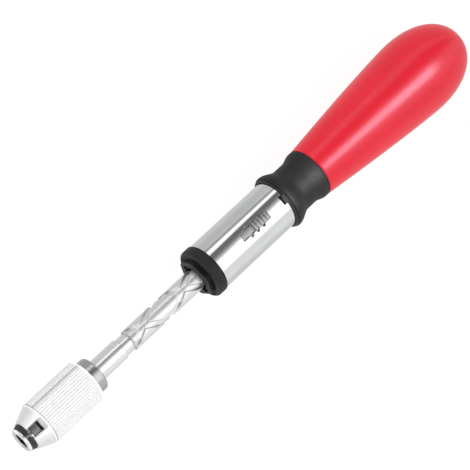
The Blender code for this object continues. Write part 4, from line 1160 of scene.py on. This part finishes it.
class SCREWDRIVER_OT_sleeve(bpy.types.Operator):
    """Make the chuck sleeve: a coned shell with a window, and straight ribs all round"""

    bl_idname = "screwdriver.sleeve"
    bl_label = "Chuck sleeve"

    def execute(self, context):
        sizes = context.scene.screwdriver.chuck
        front, rear = along("chuck_sleeve")
        radius = reach("chuck_sleeve")
        shoulder = front + sizes.cone_length
        base = radius - sizes.rib_height
        chamber = rear - sizes.chamber_length
        edge = sizes.edge
        nose = sizes.nose_diameter / 2
        bevel = 0.15 * MM
        outline = [(front, sizes.bore), (front, nose - bevel), (front + bevel, nose + 0.4 * bevel)]
        line = sizes.shoulder_line
        outline += [(shoulder - line, radius - 0.9 * line), (shoulder, radius - 1.6 * line)]
        outline.append((shoulder + line, radius))
        slope = 0.2 * MM
        ribs_front = shoulder + sizes.plain_front
        ribs_rear = rear - sizes.plain_rear
        outline += [(ribs_front, radius), (ribs_front + slope, base)]
        outline += [(ribs_rear - slope, base), (ribs_rear, radius)]
        outline += arc((rear - edge, radius - edge), edge, 90, 0, 4)
        outline += [(rear, sizes.chamber), (chamber, sizes.chamber), (chamber, sizes.bore)]
        piece = turned("sleeve_shell", outline)
        self.cut_window(piece, sizes, front, shoulder, radius)
        smooth(piece, 25)
        seat(piece, "chuck_sleeve")
        self.add_ribs(sizes, ribs_front, ribs_rear, radius)
        return {"FINISHED"}

    def cut_window(self, piece, sizes, front, shoulder, radius):
        half = sizes.window_width / 2
        outline = [
            (front - MM, sizes.window_floor), (shoulder - sizes.window_slope, sizes.window_floor),
            (shoulder, radius), (shoulder, 2 * radius), (front - MM, 2 * radius),
        ]
        window = prism("window_cutter", outline, -half, half, sideways)
        soften(window, WINDOW_EDGE, 4, 60)
        front, rear = along("bit_latch")
        room = sizes.latch_room
        low = sizes.bore / 2
        high = sizes.bore + room
        outline = [(front, low), (rear + room, low), (rear + room, high), (front, high)]
        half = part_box("bit_latch")[1].y + room
        relief = prism("latch_relief", outline, -half, half, sideways)
        combine(piece, "DIFFERENCE", window, relief)

    def add_ribs(self, sizes, front, rear, radius):
        piece = grown("sleeve_ribs", self.rib_tree(finish("knurled_aluminium")), {
            "Count": sizes.rib_count, "Width": sizes.rib_width, "Length": rear - front,
            "Middle": (front + rear) / 2, "Height": radius - sizes.rib_width / 2,
        })
        smooth(piece, 50)
        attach(piece, body_of("chuck_sleeve"))

    def rib_tree(self, material):
        """Node tree that sets straight round-backed ribs about the axis."""
        inputs = {"Count": "NodeSocketInt"}
        inputs.update(dict.fromkeys(("Width", "Length", "Middle", "Height"), "NodeSocketFloat"))
        nodes, given = new_tree("sleeve_ribs", inputs)
        bar = nodes.add(
            "GeometryNodeMeshCylinder", {},
            {"Vertices": 8, "Radius": given["Width"] * 0.5, "Depth": given["Length"]}, "Mesh",
        )
        spot = nodes.add("ShaderNodeCombineXYZ", {}, {"X": given["Middle"], "Z": given["Height"]})
        bar = nodes.add(
            "GeometryNodeTransform", {},
            {"Geometry": bar, "Translation": spot, "Rotation": (0, math.pi / 2, 0)},
        )
        points = nodes.add("GeometryNodePoints", {}, {"Count": given["Count"]})
        index = nodes.add("GeometryNodeInputIndex")
        share = index.math("DIVIDE", index * math.tau, given["Count"])
        turn = nodes.add("ShaderNodeCombineXYZ", {}, {"X": share})
        ribs = nodes.add(
            "GeometryNodeInstanceOnPoints", {}, {"Points": points, "Instance": bar, "Rotation": turn}
        )
        return close_tree(nodes, ribs, material)


class SCREWDRIVER_OT_chuck(bpy.types.Operator):
    """Make the chuck's small parts: bit socket, latch, snap ring and collar"""

    bl_idname = "screwdriver.chuck"
    bl_label = "Chuck parts"

    def execute(self, context):
        sizes = context.scene.screwdriver.chuck
        slots = ("bright_steel", "socket", "latch", "steel")
        body = dressed("socket_body", "chuck_body", FINE_EDGE, *[finish(slot) for slot in slots])
        self.finish_socket(body.data, sizes, TIP_X + SOCKET_SHADE_EDGE)
        dressed("latch_blade", "bit_latch", LATCH_EDGE, finish("latch"))
        self.snap_ring(sizes)
        self.collar(sizes, context.scene.screwdriver.spindle.shank_radius)
        return {"FINISHED"}

    def finish_socket(self, mesh, sizes, start):
        """Paints shade into the bit socket behind its mouth and onto the key in the snap ring, and dulls the
        face.
        """
        front, rear = along("nose_ring")
        shape = bmesh.new()
        shape.from_mesh(mesh)
        everything = list(shape.verts) + list(shape.edges) + list(shape.faces)
        bmesh.ops.bisect_plane(shape, geom=everything, plane_co=(start, 0, 0), plane_no=(1, 0, 0))
        for face in shape.faces:
            spot = face.calc_center_median()
            outward = Vector((0, spot.y, spot.z))
            inside = outward.length < SOCKET_SHADE_REACH and spot.x > start
            exposed = front - SEAT_GAP < spot.x < rear + sizes.cone_length
            key_in_shade = exposed and abs(spot.y) < sizes.ring_mouth / 2
            # Painted shade inside the socket.
            if inside and face.normal.dot(outward) < 0.2 * outward.length:
                face.material_index = 1
            # Painted shade on the key in the snap ring's mouth, using the latch's finish.
            elif key_in_shade and face.normal.z > 0:
                face.material_index = 2
            elif face.normal.x < -0.7 and spot.x < TIP_X + SEAT_GAP:
                face.material_index = 3
        shape.to_mesh(mesh)
        shape.free()

    def snap_ring(self, sizes):
        """Split ring whose cone has turned lines."""
        front, rear = along("nose_ring")
        rise = (sizes.ring_rear - sizes.ring_front) / (rear - front)
        outline = [(front, sizes.ring_bore)]
        lines = 3
        width = (rear - front) / lines
        for i in range(lines):
            start = front + i * width
            base = sizes.ring_front + rise * i * width
            outline += [(start, base - RING_LINE), (start + RING_LINE, base + rise * RING_LINE)]
            outline.append((start + width - RING_LINE, base + rise * (width - RING_LINE)))
        outline += [(rear, sizes.ring_rear - RING_LINE), (rear, sizes.ring_bore)]
        piece = turned("snap_ring", outline)
        corners = oblong(front - MM, rear + MM, sizes.ring_mouth / 2)
        combine(piece, "DIFFERENCE", prism("mouth_cutter", corners, 0, 2 * sizes.ring_rear, upward))
        smooth(piece)
        seat(piece, "nose_ring", finish("rubbed_black"))

    def collar(self, sizes, shank):
        """Ring behind the sleeve, rounded towards the spindle."""
        front, rear = along("chuck_collar")
        radius = reach("chuck_collar")
        bore = shank + SEAT_GAP
        edge = 0.2 * MM
        bevel = 0.1 * MM
        crown = sizes.collar_round
        outline = [(front, bore)] + arc((front + edge, radius - edge), edge, 180, 90, 4)
        outline += arc((rear - crown, radius - crown), crown, 90, 0, 12)
        outline += [(rear, bore + bevel), (rear - bevel, bore)]
        piece = turned("collar_ring", outline)
        smooth(piece)
        seat(piece, "chuck_collar")


class SCREWDRIVER_OT_selector(bpy.types.Operator):
    """Make the ribbed selector button with softened edges"""

    bl_idname = "screwdriver.selector"
    bl_label = "Selector button"

    def execute(self, context):
        dressed("selector_thumb_plate", "selector_button", FINE_EDGE, finish("selector"))
        return {"FINISHED"}


class SCREWDRIVER_OT_springs(bpy.types.Operator):
    """Wind the return spring and the sleeve spring"""

    bl_idname = "screwdriver.springs"
    bl_label = "Coil springs"

    def execute(self, context):
        sizes = context.scene.screwdriver.springs
        tree = self.coil_tree(finish("steel"))
        self.coil(tree, "return_coil", "return_spring", sizes.return_wire, sizes.return_turns, "spindle_push")
        self.coil(tree, "sleeve_coil", "sleeve_spring", sizes.sleeve_wire, sizes.sleeve_turns, "sleeve_pull")
        return {"FINISHED"}

    def coil(self, tree, name, node, wire, turns, joint_name):
        low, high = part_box(node)
        travel = joint_row(joint_name)["range_m"][1]
        gap = 0.1 * MM
        piece = grown(name, tree, {
            "Radius": high.z - wire / 2, "Wire": wire, "Turns": turns,
            "Length": high.x - low.x - wire, "Front": low.x + wire / 2,
        })
        smooth(piece, 60)
        seat(piece, node)
        span = high.x - low.x + 2 * gap
        1 - travel / span
        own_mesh(piece)

    def coil_tree(self, material):
        """Node tree that winds a round wire about the axis."""
        inputs = dict.fromkeys(("Radius", "Wire", "Turns", "Length", "Front"), "NodeSocketFloat")
        nodes, given = new_tree("coil_spring", inputs)
        path = nodes.add("GeometryNodeCurveSpiral", {}, {
            "Resolution": 40, "Rotations": given["Turns"], "Start Radius": given["Radius"],
            "End Radius": given["Radius"], "Height": given["Length"],
        })
        profile = nodes.add(
            "GeometryNodeCurvePrimitiveCircle", {}, {"Resolution": 10, "Radius": given["Wire"] * 0.5}, "Curve"
        )
        wire = nodes.add(
            "GeometryNodeCurveToMesh", {}, {"Curve": path, "Profile Curve": profile, "Fill Caps": True}
        )
        front = nodes.add("ShaderNodeCombineXYZ", {}, {"X": given["Front"]})
        wire = nodes.add(
            "GeometryNodeTransform", {},
            {"Geometry": wire, "Translation": front, "Rotation": (0, math.pi / 2, 0)},
        )
        return close_tree(nodes, wire, material)


class SCREWDRIVER_OT_inner_parts(bpy.types.Operator):
    """Give every CAD node that still shows its finish"""

    bl_idname = "screwdriver.inner_parts"
    bl_label = "Inner parts"

    def execute(self, context):
        for name, node in frame["nodes"].items():
            node.data.materials.clear()
            node.data.materials.append(finish(slot_of(name)))
        return {"FINISHED"}


class SCREWDRIVER_OT_stage(bpy.types.Operator):
    """Set the floor, the light and the camera"""

    bl_idname = "screwdriver.stage"
    bl_label = "Stage"

    def execute(self, context):
        settings = context.scene.screwdriver
        self.floor(settings.colours)
        self.world(context.scene, settings.studio)
        self.lights(settings.studio)
        self.camera(context.scene, settings.studio)
        context.scene.view_settings.view_transform = "Standard"
        return {"FINISHED"}

    def floor(self, tints):
        shape = bmesh.new()
        bmesh.ops.create_grid(shape, x_segments=4, y_segments=4, size=4)
        bmesh.ops.translate(shape, verts=shape.verts, vec=(0, 0, FLOOR_Z - 0.1 * MM))
        floor = new_piece("studio_floor", shape)
        if floor.data.polygons[0].normal.z < 0:
            floor.data.flip_normals()
        material, nodes = new_finish("studio_paper")
        cloud = nodes.noise(nodes.place(), 3, 2)
        tint = tuple(tints.floor)
        paper = nodes.add("ShaderNodeBsdfPrincipled", {}, {
            "Base Color": nodes.mix(cloud, dimmed(tint, 0.99), tint),
            "Roughness": 0.9,
            "Specular IOR Level": 0.0,
            "Emission Color": (1, 1, 1, 1),
            "Emission Strength": 0.91,
        })
        clear = nodes.add("ShaderNodeBsdfTransparent")
        under = nodes.add("ShaderNodeNewGeometry", output="Backfacing")
        both = nodes.add("ShaderNodeMixShader", {}, {0: under, 1: paper, 2: clear})
        nodes.add("ShaderNodeOutputMaterial", {}, {"Surface": both})
        floor.data.materials.append(material)
        floor.visible_glossy = False

    def world(self, scene, studio):
        """Soft boxes along the tool: bands of light and dark by their turn about the tool's axis."""
        world = bpy.data.worlds.new("studio_light")
        scene.world = world
        world.use_nodes = True
        world.node_tree.nodes.clear()
        nodes = Nodes(world.node_tree)
        x, y, z = nodes.parts(nodes.add("ShaderNodeTexCoord", output="Generated"))
        turn = y.math("ARCTAN2", y, z)
        stops = [((degrees + 180) / 360, level / BRIGHTEST) for degrees, level in LIGHT_BANDS]
        share = turn * (1 / math.tau) + 0.5
        bands = nodes.add("ShaderNodeValToRGB", {"stops": stops}, {"Fac": share})
        ahead = nodes.spread(x, -0.12, -0.36) * nodes.spread(z, 0.2, -0.2)
        light = nodes.mix(ahead, bands, dimmed((1, 1, 1), FRONT_CARD / BRIGHTEST))
        strength = studio.brightness * BRIGHTEST
        studio_light = nodes.add("ShaderNodeBackground", {}, {"Color": light, "Strength": strength})
        plain = nodes.add("ShaderNodeBackground", {}, {"Color": (*BACKDROP, 1), "Strength": 1.0})
        seen = nodes.add("ShaderNodeLightPath", output="Is Camera Ray")
        both = nodes.add("ShaderNodeMixShader", {}, {0: seen, 1: studio_light, 2: plain})
        nodes.add("ShaderNodeOutputWorld", {}, {"Surface": both})

    def lights(self, studio):
        """A fill for both sides, strips for the sheen on the mouldings, and a card beside the chuck."""
        level = studio.brightness
        fill = self.soft_box("fill_box", place=0, turn=48, away=1.0, size=(0.9, 0.5), power=2 * level)
        fill.visible_glossy = False
        strip = self.soft_box(
            "strip_box", place=0.44, turn=-18, away=1.0, size=(0.5, 0.36), power=5.9 * level
        )
        strip.visible_diffuse = False
        self.light_only(strip, "red_plastic")
        strip = self.soft_box(
            "neck_strip", place=-0.42, turn=-18, away=1.0, size=(2.2, 0.36), power=31 * level
        )
        strip.visible_diffuse = False
        self.light_only(strip, "black_plastic")
        card = self.soft_box("chuck_card", place=0.2, turn=4, away=0.5, size=(0.6, 2.4), power=8.2 * level)
        self.light_only(card, "knurled_aluminium")

    def light_only(self, lamp, slot):
        """Keeps a lamp to the pieces whose first finish is a slot's."""
        lit = bpy.data.collections.new(lamp.name)
        for piece in bpy.data.objects:
            if piece.type == "MESH" and piece.data.materials and piece.data.materials[0] == finish(slot):
                lit.objects.link(piece)
        lamp.light_linking.receiver_collection = lit

    def soft_box(self, name, place, turn, away, size, power):
        """Area light at a place along the tool, turned in degrees about its axis from straight above."""
        data = bpy.data.lights.new(name, "AREA")
        data.shape = "RECTANGLE"
        data.size, data.size_y = size
        data.energy = power
        lamp = bpy.data.objects.new(name, data)
        turn = math.radians(turn)
        lamp.location = (place, away * math.sin(turn), away * math.cos(turn))
        lamp.rotation_euler = (-turn, 0, 0)
        lamp.visible_camera = False
        bpy.context.scene.collection.objects.link(lamp)
        return lamp

    def camera(self, scene, studio):
        direction = Vector((0, math.sin(studio.tilt), math.cos(studio.tilt)))
        eye = Vector((TIP_X + studio.foot, 0, 0)) + direction * studio.distance
        beside = Vector((0, math.cos(studio.tilt), -math.sin(studio.tilt)))
        ahead = (Vector((TIP_X + studio.aim, 0, 0)) + beside * studio.aside - eye).normalized()
        axis = Vector((1, 0, 0))
        level = (axis - ahead * axis.dot(ahead)).normalized()
        rise = level.cross(ahead).normalized()
        right = level * math.cos(studio.roll) - rise * math.sin(studio.roll)
        up = level * math.sin(studio.roll) + rise * math.cos(studio.roll)
        data = bpy.data.cameras.new("photo_view")
        camera = bpy.data.objects.new("photo_view", data)
        scene.collection.objects.link(camera)
        placed = Matrix((right, up, -ahead)).transposed().to_4x4()
        placed.translation = eye
        camera.matrix_world = placed
        data.sensor_width = 36
        data.lens = studio.focal * data.sensor_width
        data.clip_start = 0.01
        scene.camera = camera


PIECE_OPERATORS = (
    SCREWDRIVER_OT_inner_parts, SCREWDRIVER_OT_grip, SCREWDRIVER_OT_neck, SCREWDRIVER_OT_casing,
    SCREWDRIVER_OT_lock_ring, SCREWDRIVER_OT_spindle, SCREWDRIVER_OT_sleeve, SCREWDRIVER_OT_chuck,
    SCREWDRIVER_OT_selector, SCREWDRIVER_OT_springs, SCREWDRIVER_OT_stage,
)


class SCREWDRIVER_PT_panel(bpy.types.Panel):
    """Lists the screwdriver's pieces"""

    bl_idname = "SCREWDRIVER_PT_panel"
    bl_label = "Screwdriver"
    bl_space_type = "VIEW_3D"
    bl_region_type = "UI"
    bl_category = "Screwdriver"

    def draw(self, context):
        for operator in PIECE_OPERATORS:
            self.layout.operator(operator.bl_idname)


CLASSES = (
    HandleSizes, CasingSizes, RingSizes, SpindleSizes, ChuckSizes, SpringSizes, FinishColours, StudioSettings,
    ScrewdriverSettings, *PIECE_OPERATORS, SCREWDRIVER_PT_panel,
)


def register():
    for group in CLASSES:
        bpy.utils.register_class(group)
    bpy.types.Scene.screwdriver = PointerProperty(type=ScrewdriverSettings)


def unregister():
    del bpy.types.Scene.screwdriver
    for group in reversed(CLASSES):
        bpy.utils.unregister_class(group)


def main():
    register()
    for operator in PIECE_OPERATORS:
        group, name = operator.bl_idname.split(".")
        getattr(getattr(bpy.ops, group), name)()


if __name__ == "__main__":
    main()
